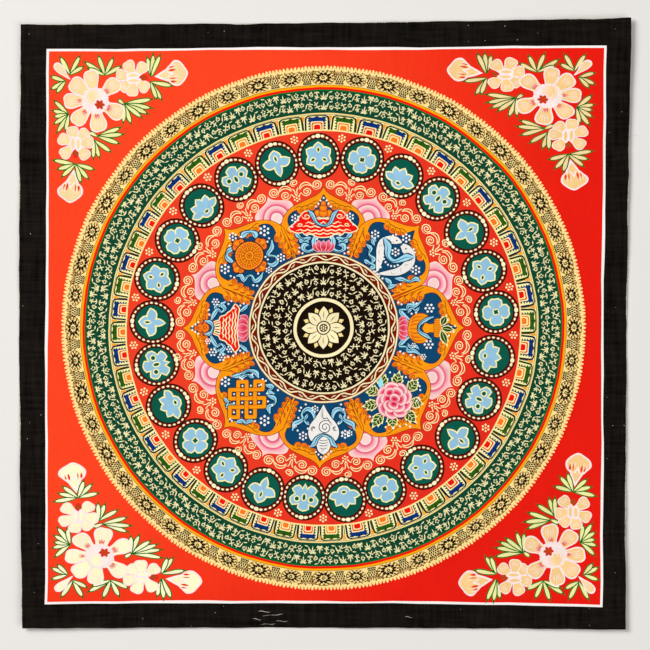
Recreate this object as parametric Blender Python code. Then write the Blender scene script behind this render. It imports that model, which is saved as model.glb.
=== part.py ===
"""An unmounted picture on cotton canvas, lying face up: one hand-cut, almost square sheet.

The sheet lies flat over its middle and rises a few millimetres at its corners and along
parts of its edges, where the stiff painted cloth keeps some of the curl it was rolled in.
All sizes are in metres. +X is the picture's right, +Y its top, and Z is up from the surface
that it lies on. The origin is on that surface, under the middle of the sheet's box.
"""

from collections import namedtuple

import bpy
import numpy as np

# Driving sizes of the cut, from corner to corner, and how far the right side stands higher.
TOP_WIDTH = 0.4221
BOTTOM_WIDTH = 0.4172
LEFT_HEIGHT = 0.4177
RIGHT_HEIGHT = 0.4230
BOTTOM_INSET = 0.0010  # the bottom left corner stands this far right of the top left one
RIGHT_DROP = 0.0008  # the bottom right corner lies this far below the bottom left one

# How far the middle of each edge bows away from the straight line between its corners.
LEFT_BOW = 0.0019
RIGHT_BOW = -0.0011
TOP_BOW = -0.0011
BOTTOM_BOW = -0.0008

THICKNESS = 0.0010  # canvas, chalk ground and paint together
CELLS = 32  # grid cells along each side

# A lift is a low rise of the rim. AT is its place from -1 to 1 along the side that it is on,
# HALF_LENGTH its reach along that side on the same scale, DEPTH its reach into the sheet
# as a share of half the sheet, and RISE its height at the very edge.
Lift = namedtuple("Lift", "side at half_length depth rise")
LIFTS = (
    Lift("top", -0.46, 0.34, 0.30, 0.0011),
    Lift("top", 0.22, 0.40, 0.26, 0.0008),
    Lift("right", 0.38, 0.36, 0.30, 0.0014),
    Lift("right", -0.34, 0.32, 0.24, 0.0009),
    Lift("bottom", 0.30, 0.42, 0.28, 0.0012),
    Lift("bottom", -0.44, 0.30, 0.22, 0.0007),
    Lift("left", 0.26, 0.38, 0.26, 0.0010),
    Lift("left", -0.50, 0.28, 0.24, 0.0008),
)

# A curl is the rise of one corner. RIGHT and UP are -1 or 1 and name the corner, REACH is
# measured along the diagonal as a share of half of it, and RISE is the height at the tip.
Curl = namedtuple("Curl", "right up reach rise")
CURLS = (
    Curl(-1, 1, 0.30, 0.0022),
    Curl(1, 1, 0.34, 0.0034),
    Curl(1, -1, 0.30, 0.0026),
    Curl(-1, -1, 0.32, 0.0030),
)


def clear_scene():
    """Empty the scene, so that only this sheet is left in it."""
    for leftover in list(bpy.data.objects):
        bpy.data.objects.remove(leftover, do_unlink=True)


def corners():
    """The four corners of the cut, as (x, y) arrays, before the sheet is centred."""
    bottom_left = np.array((BOTTOM_INSET, 0.0))
    top_left = np.array((0.0, LEFT_HEIGHT))
    bottom_right = bottom_left + (BOTTOM_WIDTH, -RIGHT_DROP)
    top_right = top_left + (TOP_WIDTH, RIGHT_HEIGHT - RIGHT_DROP - LEFT_HEIGHT)
    return bottom_left, bottom_right, top_left, top_right


def outline_point(across, along):
    """Place of a point of the sheet: the corners blended, plus the bow of the edges near it.

    ACROSS and ALONG run from -1 to 1, from the left to the right and from the bottom up.
    """
    bottom_left, bottom_right, top_left, top_right = corners()
    u = (across[:, None] + 1) / 2
    v = (along[:, None] + 1) / 2
    place = (
        (1 - u) * (1 - v) * bottom_left
        + u * (1 - v) * bottom_right
        + (1 - u) * v * top_left
        + u * v * top_right
    )
    side_bow = 1 - along**2
    end_bow = 1 - across**2
    place[:, 0] += side_bow * (RIGHT_BOW * (1 + across) - LEFT_BOW * (1 - across)) / 2
    place[:, 1] += end_bow * (TOP_BOW * (1 + along) - BOTTOM_BOW * (1 - along)) / 2
    return place


def ease(share):
    """0 up to 0 and 1 from 1 on, with a level start and end."""
    held = np.clip(share, 0, 1)
    return held * held * (3 - 2 * held)


def rise(across, along):
    """Height of the underside over the surface it lies on: 0 over the middle of the sheet."""
    towards = {"right": across, "left": -across, "top": along, "bottom": -along}
    beside = {"right": along, "left": along, "top": across, "bottom": across}
    height = np.zeros_like(across)
    for lift in LIFTS:
        inward = ease((towards[lift.side] - (1 - lift.depth)) / lift.depth)
        hump = ease(1 - np.abs(beside[lift.side] - lift.at) / lift.half_length)
        height += lift.rise * inward * hump
    for curl in CURLS:
        diagonal = (across * curl.right + along * curl.up) / 2
        height += curl.rise * ease((diagonal - (1 - curl.reach)) / curl.reach)
    return height


def underside():
    """Points and four-sided faces of the sheet's underside, centred on the origin."""
    steps = np.linspace(-1, 1, CELLS + 1)
    across, along = (grid.ravel() for grid in np.meshgrid(steps, steps))
    place = outline_point(across, along)
    place -= (place.min(axis=0) + place.max(axis=0)) / 2
    points = np.column_stack((place, rise(across, along)))
    row = CELLS + 1
    first = (np.arange(CELLS)[:, None] * row + np.arange(CELLS)).ravel()
    faces = np.column_stack((first, first + 1, first + row + 1, first + row))
    return points, faces


def canvas_material():
    """Painted cotton canvas: mostly vermilion to the eye, and dull."""
    material = bpy.data.materials.new("painted_canvas")
    material.use_nodes = True
    shader = material.node_tree.nodes["Principled BSDF"]
    shader.inputs["Base Color"].default_value = (0.62, 0.09, 0.04, 1)
    shader.inputs["Roughness"].default_value = 0.62
    shader.inputs["Metallic"].default_value = 0
    return material


def build_canvas():
    """The whole picture: one sheet, thickened upwards from its underside."""
    points, faces = underside()
    mesh = bpy.data.meshes.new("canvas")
    mesh.from_pydata(points.tolist(), [], faces.tolist())
    mesh.shade_smooth()
    mesh.materials.append(canvas_material())
    canvas = bpy.data.objects.new("canvas", mesh)
    bpy.context.scene.collection.objects.link(canvas)
    body = canvas.modifiers.new("thickness", "SOLIDIFY")
    body.thickness = THICKNESS
    body.offset = 1
    return canvas


clear_scene()
build_canvas()
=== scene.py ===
"""A picture painted on cotton canvas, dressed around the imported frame.

The sheet is one closed piece of cloth. Its painted face is laid out the way the painter worked:
every field, ring, petal, dot and brush line is an outline in millimetres, put down in painting
order. One constrained triangulation cuts the face along all of them, each triangle takes the
topmost outline's pigment, and the faces follow the gentle lifts and curls of the canvas.
X is the picture's right, Y its top and Z is up. The drawing is in millimetres, the mesh in metres.
"""

from __future__ import annotations

import logging
import math
from collections.abc import Callable, Sequence
from dataclasses import dataclass, field
from enum import Enum
from typing import NamedTuple

import bpy
import numpy as np
from bpy.types import Node, NodeSocket, NodeTree
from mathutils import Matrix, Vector
from mathutils.geometry import delaunay_2d_cdt


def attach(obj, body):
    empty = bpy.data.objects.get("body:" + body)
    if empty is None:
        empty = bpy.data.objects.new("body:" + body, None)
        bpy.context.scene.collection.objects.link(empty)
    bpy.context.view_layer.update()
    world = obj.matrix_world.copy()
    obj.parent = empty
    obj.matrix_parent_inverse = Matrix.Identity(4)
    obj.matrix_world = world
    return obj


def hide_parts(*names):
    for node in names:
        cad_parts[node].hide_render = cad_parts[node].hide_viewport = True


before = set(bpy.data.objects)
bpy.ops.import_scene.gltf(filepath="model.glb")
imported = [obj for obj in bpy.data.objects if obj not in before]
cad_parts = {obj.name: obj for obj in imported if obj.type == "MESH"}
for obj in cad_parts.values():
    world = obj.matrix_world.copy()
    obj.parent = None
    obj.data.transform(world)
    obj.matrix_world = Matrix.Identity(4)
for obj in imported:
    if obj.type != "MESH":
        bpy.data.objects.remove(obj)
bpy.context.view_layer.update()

log = logging.getLogger("thangka")

MM = 0.001
FULL_TURN = 2 * math.pi
RING_SIDES = 320  # sides of the widest plain rings
Points = np.ndarray  # (n, 2) places in millimetres
Place = Callable[[Points], Points]
Size = float | tuple[float, float]


class Pigment(Enum):
    """Paints and bare materials of the picture, as sRGB hex values."""

    LAMP_BLACK = "140f0b"
    HEART_BLACK = "160b02"
    WORN_COTTON = "b9ada0"
    LIME_WHITE = "fbf7f3"
    VERMILION_LIGHT = "ff4420"
    VERMILION = "e81a0c"
    SCARLET_LIGHT = "ec3e22"
    SCARLET = "e2281a"
    RED_LINE = "f01408"
    GOLD = "ffe394"
    GOLD_PALE = "ffefbc"
    GOLD_SPRIG = "f4e8ae"
    UMBER = "74420a"
    BEAD = "fff8c8"
    SEED = "fff0b0"
    INK = "2c1602"
    INK_SOFT = "5a3a18"
    RED_GAP = "d4501e"
    ORPIMENT = "ffac08"
    TEAL = "0a442e"
    TEAL_DISC = "065846"
    GREEN_LINE = "04672c"
    FENCE_BLUE = "04307a"
    FENCE_GREEN = "2a5c0c"
    FENCE_NAVY = "161b30"
    FENCE_MOSS = "1a3208"
    FENCE_ORANGE = "ff7a1c"
    FENCE_SAND = "fba63a"
    CREAM = "fff3ac"
    OXBLOOD = "741400"
    OXBLOOD_DARK = "2c0a08"
    SKY = "94c2dc"
    SILK = "a4d8f0"
    AQUA = "8fe0ee"
    PANEL_BLUE = "0b446a"
    NAVY = "071c3a"
    SAFFRON = "ff9c0e"
    SAFFRON_DEEP = "fb7a1c"
    SIENNA = "8f3a06"
    PINK_PALE = "fdd6ce"
    PINK = "f47f9c"
    PINK_DEEP = "e2506e"
    ROSE = "d81c3c"
    PEACH = "fbdca0"
    PEACH_EDGE = "fdeaea"
    PEACH_WARM = "fbd08c"
    LEAF_PALE = "f2eea2"
    LEAF_DARK = "00681c"
    MOSS = "1a4a10"
    SHELL_WHITE = "f3efe9"
    SHELL_GREY = "a9a39c"

    def linear(self) -> np.ndarray:
        """The pigment as linear red, green and blue."""
        return linear_rgb(self.value)


def linear_rgb(code: str) -> np.ndarray:
    """Turn an sRGB hex value linear.

    Args:
        code: Six hex digits.

    Returns:
        Red, green and blue: c / 12.92 below 0.04045, else ((c + 0.055) / 1.055) ** 2.4.
    """
    share = np.array([int(code[i : i + 2], 16) for i in (0, 2, 4)]) / 255
    return np.where(share <= 0.04045, share / 12.92, ((share + 0.055) / 1.055) ** 2.4)


@dataclass(frozen=True)
class Wash:
    """A paint blended from one pigment into another with the distance from a point."""

    first: Pigment
    second: Pigment
    centre: tuple[float, float]
    near: float
    far: float

    def colours(self, places: Points) -> np.ndarray:
        """Linear colours at places: first up to near, second from far on, even between."""
        away = np.hypot(*(places - np.array(self.centre)).T)
        share = np.clip((away - self.near) / (self.far - self.near), 0, 1)[:, None]
        return self.first.linear() * (1 - share) + self.second.linear() * share


Paint = Pigment | Wash

# The reds are lighter and more orange towards the left of the sheet, blended by the distance from a point
# beyond its upper left.
FIELD_RED = Wash(Pigment.VERMILION_LIGHT, Pigment.VERMILION, (-250.0, 100.0), 230.0, 420.0)
GROUND_RED = Wash(Pigment.SCARLET_LIGHT, Pigment.SCARLET, (-250.0, 100.0), 230.0, 420.0)

# Where the petals point, clockwise in degrees from the top: the painter divided the circle by eye.
SAFFRON_TIPS = (0.0, 43.0, 90.0, 136.0, 181.5, 225.0, 270.0, 315.0)
PINK_TIPS = (22.0, 68.0, 114.5, 159.5, 205.5, 248.0, 292.0, 337.0)


# ---------------------------------------------------------------- outlines


def circle(radius: float, sides: int = 24, centre: Sequence[float] = (0, 0)) -> Points:
    """A round outline: centre + radius (sin a, cos a)."""
    a = np.arange(sides) * FULL_TURN / sides
    return np.column_stack((np.sin(a), np.cos(a))) * radius + centre


def oval(across: float, along: float, sides: int = 16, centre: Sequence[float] = (0, 0)) -> Points:
    """An oval outline of half width across and half height along."""
    return circle(1, sides) * (across, along) + centre


def curve(knots: Sequence[Sequence[float]], steps: int = 4, closed: bool = False) -> Points:
    """A smooth line through knots, by the uniform Catmull-Rom formula.

    Args:
        knots: Places that the line passes through.
        steps: Points for each stretch between two knots.
        closed: Whether the line returns to its first knot.

    Returns:
        The points of the line, with the last knot where it is open.
    """
    k = np.asarray(knots, float)
    if closed:
        a, b, c, d = (np.roll(k, shift, axis=0) for shift in (1, 0, -1, -2))
    else:
        ends = np.vstack((2 * k[0] - k[1], k, 2 * k[-1] - k[-2]))
        a, b, c, d = ends[:-3], ends[1:-2], ends[2:-1], ends[3:]
    t = (np.arange(steps) / steps)[None, :, None]
    a, b, c, d = (x[:, None, :] for x in (a, b, c, d))
    line = 0.5 * (
        2 * b + (c - a) * t + (2 * a - 5 * b + 4 * c - d) * t**2 + (3 * b - a - 3 * c + d) * t**3
    )
    line = line.reshape(-1, 2)
    return line if closed else np.vstack((line, k[-1]))


def mirrored(knots: Sequence[Sequence[float]]) -> Points:
    """A closed outline from its right half, listed from top to bottom: the left half follows back."""
    half = np.asarray(knots, float)
    back = half[::-1] * (-1, 1)
    return np.vstack((half, back[np.abs(back[:, 0]) > 1e-6]))


def brush(path: Points, width: float | np.ndarray, taper: float = 0.25) -> Points:
    """The outline of a brush line: the path moved half a width to each side.

    A straight stroke with thin ends gets a point in the middle, so that it can swell there.

    Args:
        path: Points of the line, (n, 2).
        width: Full width in millimetres, or one width for each point.
        taper: Share of the line over which each end thins out.

    Returns:
        A closed outline of 2n points.
    """
    path = np.asarray(path, float)
    if len(path) == 2 and taper:
        path = np.vstack((path[0], path.mean(0), path[1]))
    run = np.gradient(path, axis=0)
    side = np.column_stack((run[:, 1], -run[:, 0])) / np.maximum(np.hypot(*run.T), 1e-9)[:, None]
    t = np.linspace(0, 1, len(path))
    body = np.clip(np.minimum(t, 1 - t) / max(taper, 1e-6), 0, 1) ** 0.6 if taper else 1.0
    half = (np.asarray(width) * np.maximum(body, 0.28) / 2 * np.ones(len(path)))[:, None]
    return np.vstack((path + side * half, (path - side * half)[::-1]))


def leaf(length: float, width: float, bend: float = 0.0, sides: int = 6, sharp: float = 1.0) -> Points:
    """A leaf or petal from the origin up: half width = width/2 sin(pi t^sharp), bent by bend t^2."""
    t = np.linspace(0, 1, sides + 1)
    half = width / 2 * np.sin(np.pi * t**sharp)
    spine = np.column_stack((bend * t**2, length * t))
    right = spine + np.column_stack((half, np.zeros_like(t)))
    left = spine - np.column_stack((half, np.zeros_like(t)))
    return np.vstack((right[:-1], left[:0:-1]))


def rosette(radius: float, lobes: int, depth: float, per_lobe: int = 4, turn: float = 0.0) -> Points:
    """A lobed outline: r = radius (1 - depth + depth |sin(lobes a / 2)|), turned by turn."""
    a = np.arange(lobes * per_lobe) * FULL_TURN / (lobes * per_lobe)
    r = radius * (1 - depth + depth * np.abs(np.sin(lobes * a / 2)))
    return np.column_stack((np.sin(a + turn), np.cos(a + turn))) * r[:, None]


def coil(radius: float, turns: float, start: float = 0.0, steps: int = 16, inner: float = 0.18) -> Points:
    """A spiral line from its rim inwards: r = radius (1 - (1 - inner) t), a = start + turns t."""
    t = np.linspace(0, 1, steps)
    a = start + turns * FULL_TURN * t
    r = radius * (1 - (1 - inner) * t)
    return np.column_stack((np.sin(a), np.cos(a))) * r[:, None]


def shrunk(outline: Points, share: Size, middle: Sequence[float]) -> Points:
    """An outline made smaller towards a middle: middle + share (outline - middle)."""
    return (outline - middle) * share + middle


def turned(points: Points, angle: float) -> Points:
    """Points turned clockwise about the origin by an angle in radians."""
    c, s = math.cos(angle), math.sin(angle)
    return np.asarray(points, float) @ np.array(((c, -s), (s, c)))


def grown(outline: Points, by: float) -> Points:
    """An outline moved outwards along its corner normals."""
    p = np.asarray(outline, float)
    run = np.roll(p, -1, axis=0) - np.roll(p, 1, axis=0)
    out = np.column_stack((-run[:, 1], run[:, 0])) / np.maximum(np.hypot(*run.T), 1e-9)[:, None]
    area = np.sum(p[:, 0] * np.roll(p[:, 1], -1) - p[:, 1] * np.roll(p[:, 0], -1))
    return p + out * (by if area < 0 else -by)


# ---------------------------------------------------------------- the picture


@dataclass
class Picture:
    """Outlines in painting order, with the paint that each is filled with."""

    outlines: list[Points] = field(default_factory=list)
    paints: list[Paint] = field(default_factory=list)
    shades: list[float] = field(default_factory=list)
    wobble_mm: float = 0.13
    unevenness: float = 0.05
    seed: int = 108
    rng: np.random.Generator = field(init=False)

    def __post_init__(self) -> None:
        """Start the random numbers."""
        self.rng = np.random.default_rng(self.seed)

    def wobble(self, p: Points) -> Points:
        """The unsteadiness of the hand: a few slow waves, added to each point's place."""
        x, y = p.T
        dx = np.sin(y / 7.3 + 0.4) + 0.7 * np.sin((x + y) / 11.9) + 0.5 * np.sin((x - 2 * y) / 4.1)
        dy = np.sin(x / 6.7 + 1.3) + 0.7 * np.sin((x - y) / 12.7) + 0.5 * np.sin((2 * x + y) / 4.7)
        return p + self.wobble_mm * np.column_stack((dx, dy))

    def fill(self, outline: Points, paint: Paint) -> None:
        """Put one outline on top of what is there, in a paint of a little uneven strength."""
        self.outlines.append(self.wobble(np.asarray(outline, float)))
        self.paints.append(paint)
        self.shades.append(1 + self.unevenness * float(self.rng.uniform(-1, 1)))


@dataclass(frozen=True)
class Pen:
    """A brush held over one spot of the picture, drawing in that spot's own millimetres."""

    picture: Picture
    place: Place

    def at(self, x: float, y: float, turn: float = 0.0, size: Size = 1.0, flip: bool = False) -> Pen:
        """A pen over another spot, turned clockwise by turn degrees, enlarged and maybe mirrored."""
        angle, scale = math.radians(turn), np.array((-1.0 if flip else 1.0, 1.0)) * size
        return Pen(self.picture, lambda p: self.place(turned(p * scale, angle) + (x, y)))

    def fill(self, outline: Points, paint: Paint) -> None:
        """Fill an outline."""
        self.picture.fill(self.place(np.asarray(outline, float)), paint)

    def edged(self, outline: Points, by: float, edge: Paint, paint: Paint) -> None:
        """Fill an outline over a larger one, which shows as an edge of another paint."""
        self.fill(grown(outline, by), edge)
        self.fill(outline, paint)

    def discs(self, sides: int, *discs: tuple[float, Paint], centre: Sequence[float] = (0, 0)) -> None:
        """Fill round outlines on top of each other, each with its radius."""
        for radius, paint in discs:
            self.fill(circle(radius, sides, centre), paint)

    def halves(self) -> tuple[Pen, Pen]:
        """A mirror image of this pen for the left half of a form, and one for the right half."""
        return self.at(0, 0, flip=True), self.at(0, 0)

    def line(self, knots: Points, width: float, paint: Paint, taper: float = 0.25) -> None:
        """Draw a brush line through points as they are."""
        self.fill(brush(np.asarray(knots, float), width, taper), paint)

    def sweep(self, knots: Sequence, width: float, paint: Paint, taper: float = 0.25, steps: int = 4) -> None:
        """Draw a brush line along a smooth curve through a few knots."""
        self.line(curve(knots, steps), width, paint, taper)

    def dots(self, places: Sequence, radius: float, paint: Paint, sides: int = 6) -> None:
        """Set a dot of paint at each place."""
        for x, y in places:
            self.fill(circle(radius, sides, (x, y)), paint)

    def rays(
        self, count: int, inner: float, outer: float, width: float, paint: Paint, lean: float = 0.0
    ) -> None:
        """Draw short strokes around the spot, from one radius to another, each turned by lean on its way."""
        for a in np.arange(count) * FULL_TURN / count:
            ray = np.vstack((turned([(0, inner)], a), turned([(0, outer)], a + lean)))
            self.line(ray, width, paint, 0)

    def blossom(self, x: float, y: float, reach: float, radius: float, paint: Paint) -> None:
        """Set seven dots: one in the middle and six around it."""
        self.dots([(x, y), *(circle(reach, 6) + (x, y))], radius, paint)

    def wash(self, first: Pigment, second: Pigment, centre: Sequence, near: float, far: float) -> Wash:
        """A blended paint centred on a spot of this pen."""
        x, y = self.place(np.array([centre], float))[0]
        return Wash(first, second, (float(x), float(y)), near, far)


@dataclass(frozen=True)
class Wheel:
    """The round design: its centre on the sheet, and pens that stand or bend around it."""

    picture: Picture
    centre: tuple[float, float] = (-1.07, -2.98)

    def pen(self, degrees: float = 0.0) -> Pen:
        """A pen at the centre, its Y pointing outwards at an angle clockwise from the top."""
        return Pen(self.picture, lambda p: turned(p, math.radians(degrees)) + self.centre)

    def band(self, radius: float, degrees: float = 0.0) -> Pen:
        """A pen whose X runs clockwise along a circle and whose Y points outwards from it."""
        start = math.radians(degrees)

        def bend(p: Points) -> Points:
            """Places of the pen wound round the circle: an arc length is a turn times the radius."""
            a = start + p[:, 0] / radius
            return np.column_stack((np.sin(a), np.cos(a))) * (radius + p[:, 1])[:, None] + self.centre

        return Pen(self.picture, bend)

    def disc(self, radius: float, paint: Paint, sides: int) -> None:
        """Fill a whole circle of the design."""
        self.pen().fill(circle(radius, sides), paint)


# ---------------------------------------------------------------- the painted design


@dataclass
class Field:
    """The vermilion field in its white frame line, inside the black border."""

    top_left: tuple[float, float] = (-192.6, 190.0)
    top_right: tuple[float, float] = (194.5, 192.4)
    bottom_right: tuple[float, float] = (192.0, -195.9)
    bottom_left: tuple[float, float] = (-193.6, -194.0)
    bows: tuple[float, ...] = (0.0, 0.2, 1.6, -0.3)
    line_mm: float = 1.65
    waver_mm: float = 0.35
    steps: int = 24
    inwards: tuple[tuple[int, int], ...] = ((1, -1), (-1, -1), (-1, 1), (1, 1))

    def corners(self) -> np.ndarray:
        """The four corners of the frame, clockwise from the top left."""
        return np.array((self.top_left, self.top_right, self.bottom_right, self.bottom_left))

    def quad(self, inset: float, phase: float) -> Points:
        """The frame's outline moved inwards: each side bows inwards by its own amount, and wavers.

        Args:
            inset: Distance inwards in millimetres.
            phase: Where the waver starts.

        Returns:
            A closed outline of as many points a side as there are steps.
        """
        ends = self.corners() + np.array(self.inwards) * inset
        t = np.linspace(0, 1, self.steps, endpoint=False)[:, None]
        sides = []
        for i in range(4):
            a, b = ends[i], ends[(i + 1) % 4]
            across = np.array((b[1] - a[1], a[0] - b[0])) / np.hypot(*(b - a))
            wave = np.sin(11.0 * t + phase + 2 * i) + 0.5 * np.sin(29.0 * t + 2 * phase + i)
            sides.append(a + (b - a) * t + across * np.sin(np.pi * t) * (self.bows[i] + self.waver_mm * wave))
        return np.vstack(sides)

    def paint(self, picture: Picture) -> None:
        """Lay the white line and the field inside it."""
        picture.fill(self.quad(0, 0.3), Pigment.LIME_WHITE)
        picture.fill(self.quad(self.line_mm, 1.1), FIELD_RED)

    def corner_pens(self, picture: Picture) -> list[Pen]:
        """A pen in each corner of the field, X and Y both pointing inwards along the frame line."""
        pens = []
        for corner, way in zip(self.corners(), np.array(self.inwards, float), strict=True):
            start = corner + way * self.line_mm
            pens.append(Pen(picture, lambda p, start=start, way=way: p * way + start))
        return pens


@dataclass
class ScrollRing:
    """The outermost ring: gold scrollwork of spiral suns, hatched sheaves and an outer fringe."""

    inner: float = 168.4
    outer: float = 180.3
    suns: int = 48
    middle: float = 173.5
    dabs: int = 456

    def paint(self, wheel: Wheel) -> None:
        """Paint the ring from its ground up."""
        wheel.disc(self.outer, Pigment.GOLD, RING_SIDES)
        for i in range(self.dabs):
            lean = math.sin(FULL_TURN * self.suns * i / self.dabs)
            self.fringe(wheel.band(self.outer, i * 360 / self.dabs), lean, i)
        step = 360 / self.suns
        for i in range(self.suns):
            self.sheaf(wheel.band(self.middle, (i + 0.5) * step), i)
            self.sun(wheel.band(self.middle, i * step), i)
        wheel.disc(self.inner + 0.4, Pigment.GOLD, RING_SIDES)
        wheel.disc(self.inner, Pigment.INK_SOFT, RING_SIDES)

    def fringe(self, pen: Pen, lean: float, i: int) -> None:
        """One pale dab on the outer edge, with red-brown specks below it that fan out between suns."""
        dab = pen.at(0.3 * lean, 0.15 + 0.2 * math.sin(i * 2.4), 12 * lean)
        dab.fill(oval(0.8, 1.1, 7), Pigment.GOLD)
        pen.line([(1.25, -0.9), (1.25 + 0.3 * lean, 0.4)], 0.5, Pigment.RED_GAP, 0)
        if i % 2:
            pen.at(0.3, -2.3, 30 * lean).fill(oval(0.5, 0.85, 6), Pigment.UMBER)

    def sun(self, pen: Pen, i: int) -> None:
        """A whorl of bold ink strokes in two fine brown rounds: every second one is larger."""
        big, side = 1.12 if i % 2 == 0 else 0.98, 1 if i % 2 else -1
        wide = pen.at(0, -0.3, 5 * math.sin(i * 1.7), (1.34 * big, 0.9 * big))
        wide.fill(circle(5.4, 20), Pigment.GOLD)
        wide.line(coil(5.3, 0.97, i, 24, 0.99), 0.42, Pigment.UMBER, 0.1)
        wide.rays(14, 3.95, 4.95, 1.0, Pigment.UMBER, 0.1 * side)
        wide.rays(10, 1.9, 3.75, 1.4, Pigment.INK, 0.42 * side)
        pen.line(coil(1.4, 1.3 * side, i, 12, 0.15), 0.72, Pigment.INK, 0.15)

    def sheaf(self, pen: Pen, i: int) -> None:
        """Chequered ink strokes between two suns, spreading upwards into longer red-brown ones."""
        foot, head, row_step, stroke = -4.9, 1.4, 1.55, 1.4
        for row, y in enumerate(np.arange(foot, head, row_step)):
            for k in (-1.5, -0.5, 0.5, 1.5) if row % 2 else (-2, -1, 0, 1, 2):
                x = k * (1.2 + 0.12 * (y - foot))
                pen.line([(x - 0.2 * k, y), (x + 0.2 * k, y + stroke)], 0.95, Pigment.INK, 0)
        for k in range(-3, 4):
            ear = [(0.7 * k, 1.6 - 0.2 * abs(k)), (1.4 * k, 3.5), (2.3 * k, 4.4)]
            pen.sweep(ear, 0.66, Pigment.UMBER, 0.2, 2)


@dataclass
class Hoops:
    """The plain rings between the gold scrollwork and the teal band, from the outside in."""

    radii: tuple[float, ...] = (168.1, 166.7, 165.1, 163.9)
    paints: tuple[Pigment, ...] = (Pigment.ORPIMENT, Pigment.RED_LINE, Pigment.GREEN_LINE, Pigment.TEAL)

    def paint(self, wheel: Wheel) -> None:
        """Lay each disc inside the one before it."""
        for radius, paint in zip(self.radii, self.paints, strict=True):
            wheel.disc(radius, paint, RING_SIDES)


@dataclass
class SprigRow:
    """A dense row of little sprigs, palmettes, curls and berries along one narrow part of a ring."""

    radius: float
    units: int
    height: float = 5.9
    paint_used: Pigment = Pigment.GOLD_SPRIG
    blade: float = 0.86
    drawn_height: float = 5.7

    def paint(self, wheel: Wheel) -> None:
        """Paint the row unit by unit, each one the other way up, in a changing order."""
        size = self.height / self.drawn_height
        kinds = (self.palmette, self.curl, self.berries, self.branch, self.curl, self.floret, self.palmette)
        for i in range(self.units):
            pen = wheel.band(self.radius, i * 360 / self.units).at(0, 0, 180 * (i % 2), size, i % 4 > 1)
            kinds[i % len(kinds)](pen, 0.3 * math.sin(i * 1.9))

    def blades(self, pen: Pen, x: float, y: float, blades: Sequence[tuple[float, float]]) -> None:
        """Narrow leaves from one spot, each with its lean in degrees and its length."""
        for lean, long in blades:
            pen.at(x, y, lean).fill(leaf(long, self.blade, 0.004 * lean, 3), self.paint_used)

    def palmette(self, pen: Pen, jog: float) -> None:
        """Five blades over a curved foot."""
        self.blades(pen, jog, -2.0, ((-78, 2.5), (-36, 3.2), (0, 4.7), (36, 3.2), (78, 2.5)))
        pen.line([(-1.6, -2.6), (0, -2.1), (1.7, -2.7)], 0.6, self.paint_used, 0)

    def curl(self, pen: Pen, jog: float) -> None:
        """A curl over a short bar, with a blade beside it."""
        pen.line(coil(1.6, 1.25, 3.4 + jog, 10, 0.25) + (-0.5, 0.9), 0.66, self.paint_used, 0.15)
        self.blades(pen, 1.3, -2.3, ((18, 4.4), (-96, 2.9)))
        self.blades(pen, -0.5, 2.0, ((-30, 1.3),))

    def berries(self, pen: Pen, jog: float) -> None:
        """A bunch of five berries over two blades."""
        dots = [(0, 2.4), (-1.05, 1.4), (1.05, 1.5), (-0.5, 0.3), (0.6, 0.2)]
        pen.dots(dots, 0.55, self.paint_used, 5)
        self.blades(pen, jog, -1.6, ((-66, 2.4), (66, 2.4)))
        pen.line([(jog, -2.8), (0, -0.2)], 0.5, self.paint_used, 0)

    def branch(self, pen: Pen, jog: float) -> None:
        """A slanting twig with two blades at each side."""
        pen.line([(-1.8, -2.6), (-0.2, -0.2), (1.5, 2.8)], 0.56, self.paint_used, 0)
        self.blades(pen, -0.6, -1.0 + jog, ((-62, 2.0), (96, 2.2)))
        self.blades(pen, 0.5, 0.9, ((-40, 2.3), (100, 1.7)))

    def floret(self, pen: Pen, jog: float) -> None:
        """A little five-petalled flower on a stalk."""
        self.blades(pen, 0, 0.8, [(72 * k + 20 * jog, 1.85) for k in range(5)])
        self.blades(pen, 0, -2.8, ((0, 2.4), (-58, 2.2), (58, 2.2)))


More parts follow.
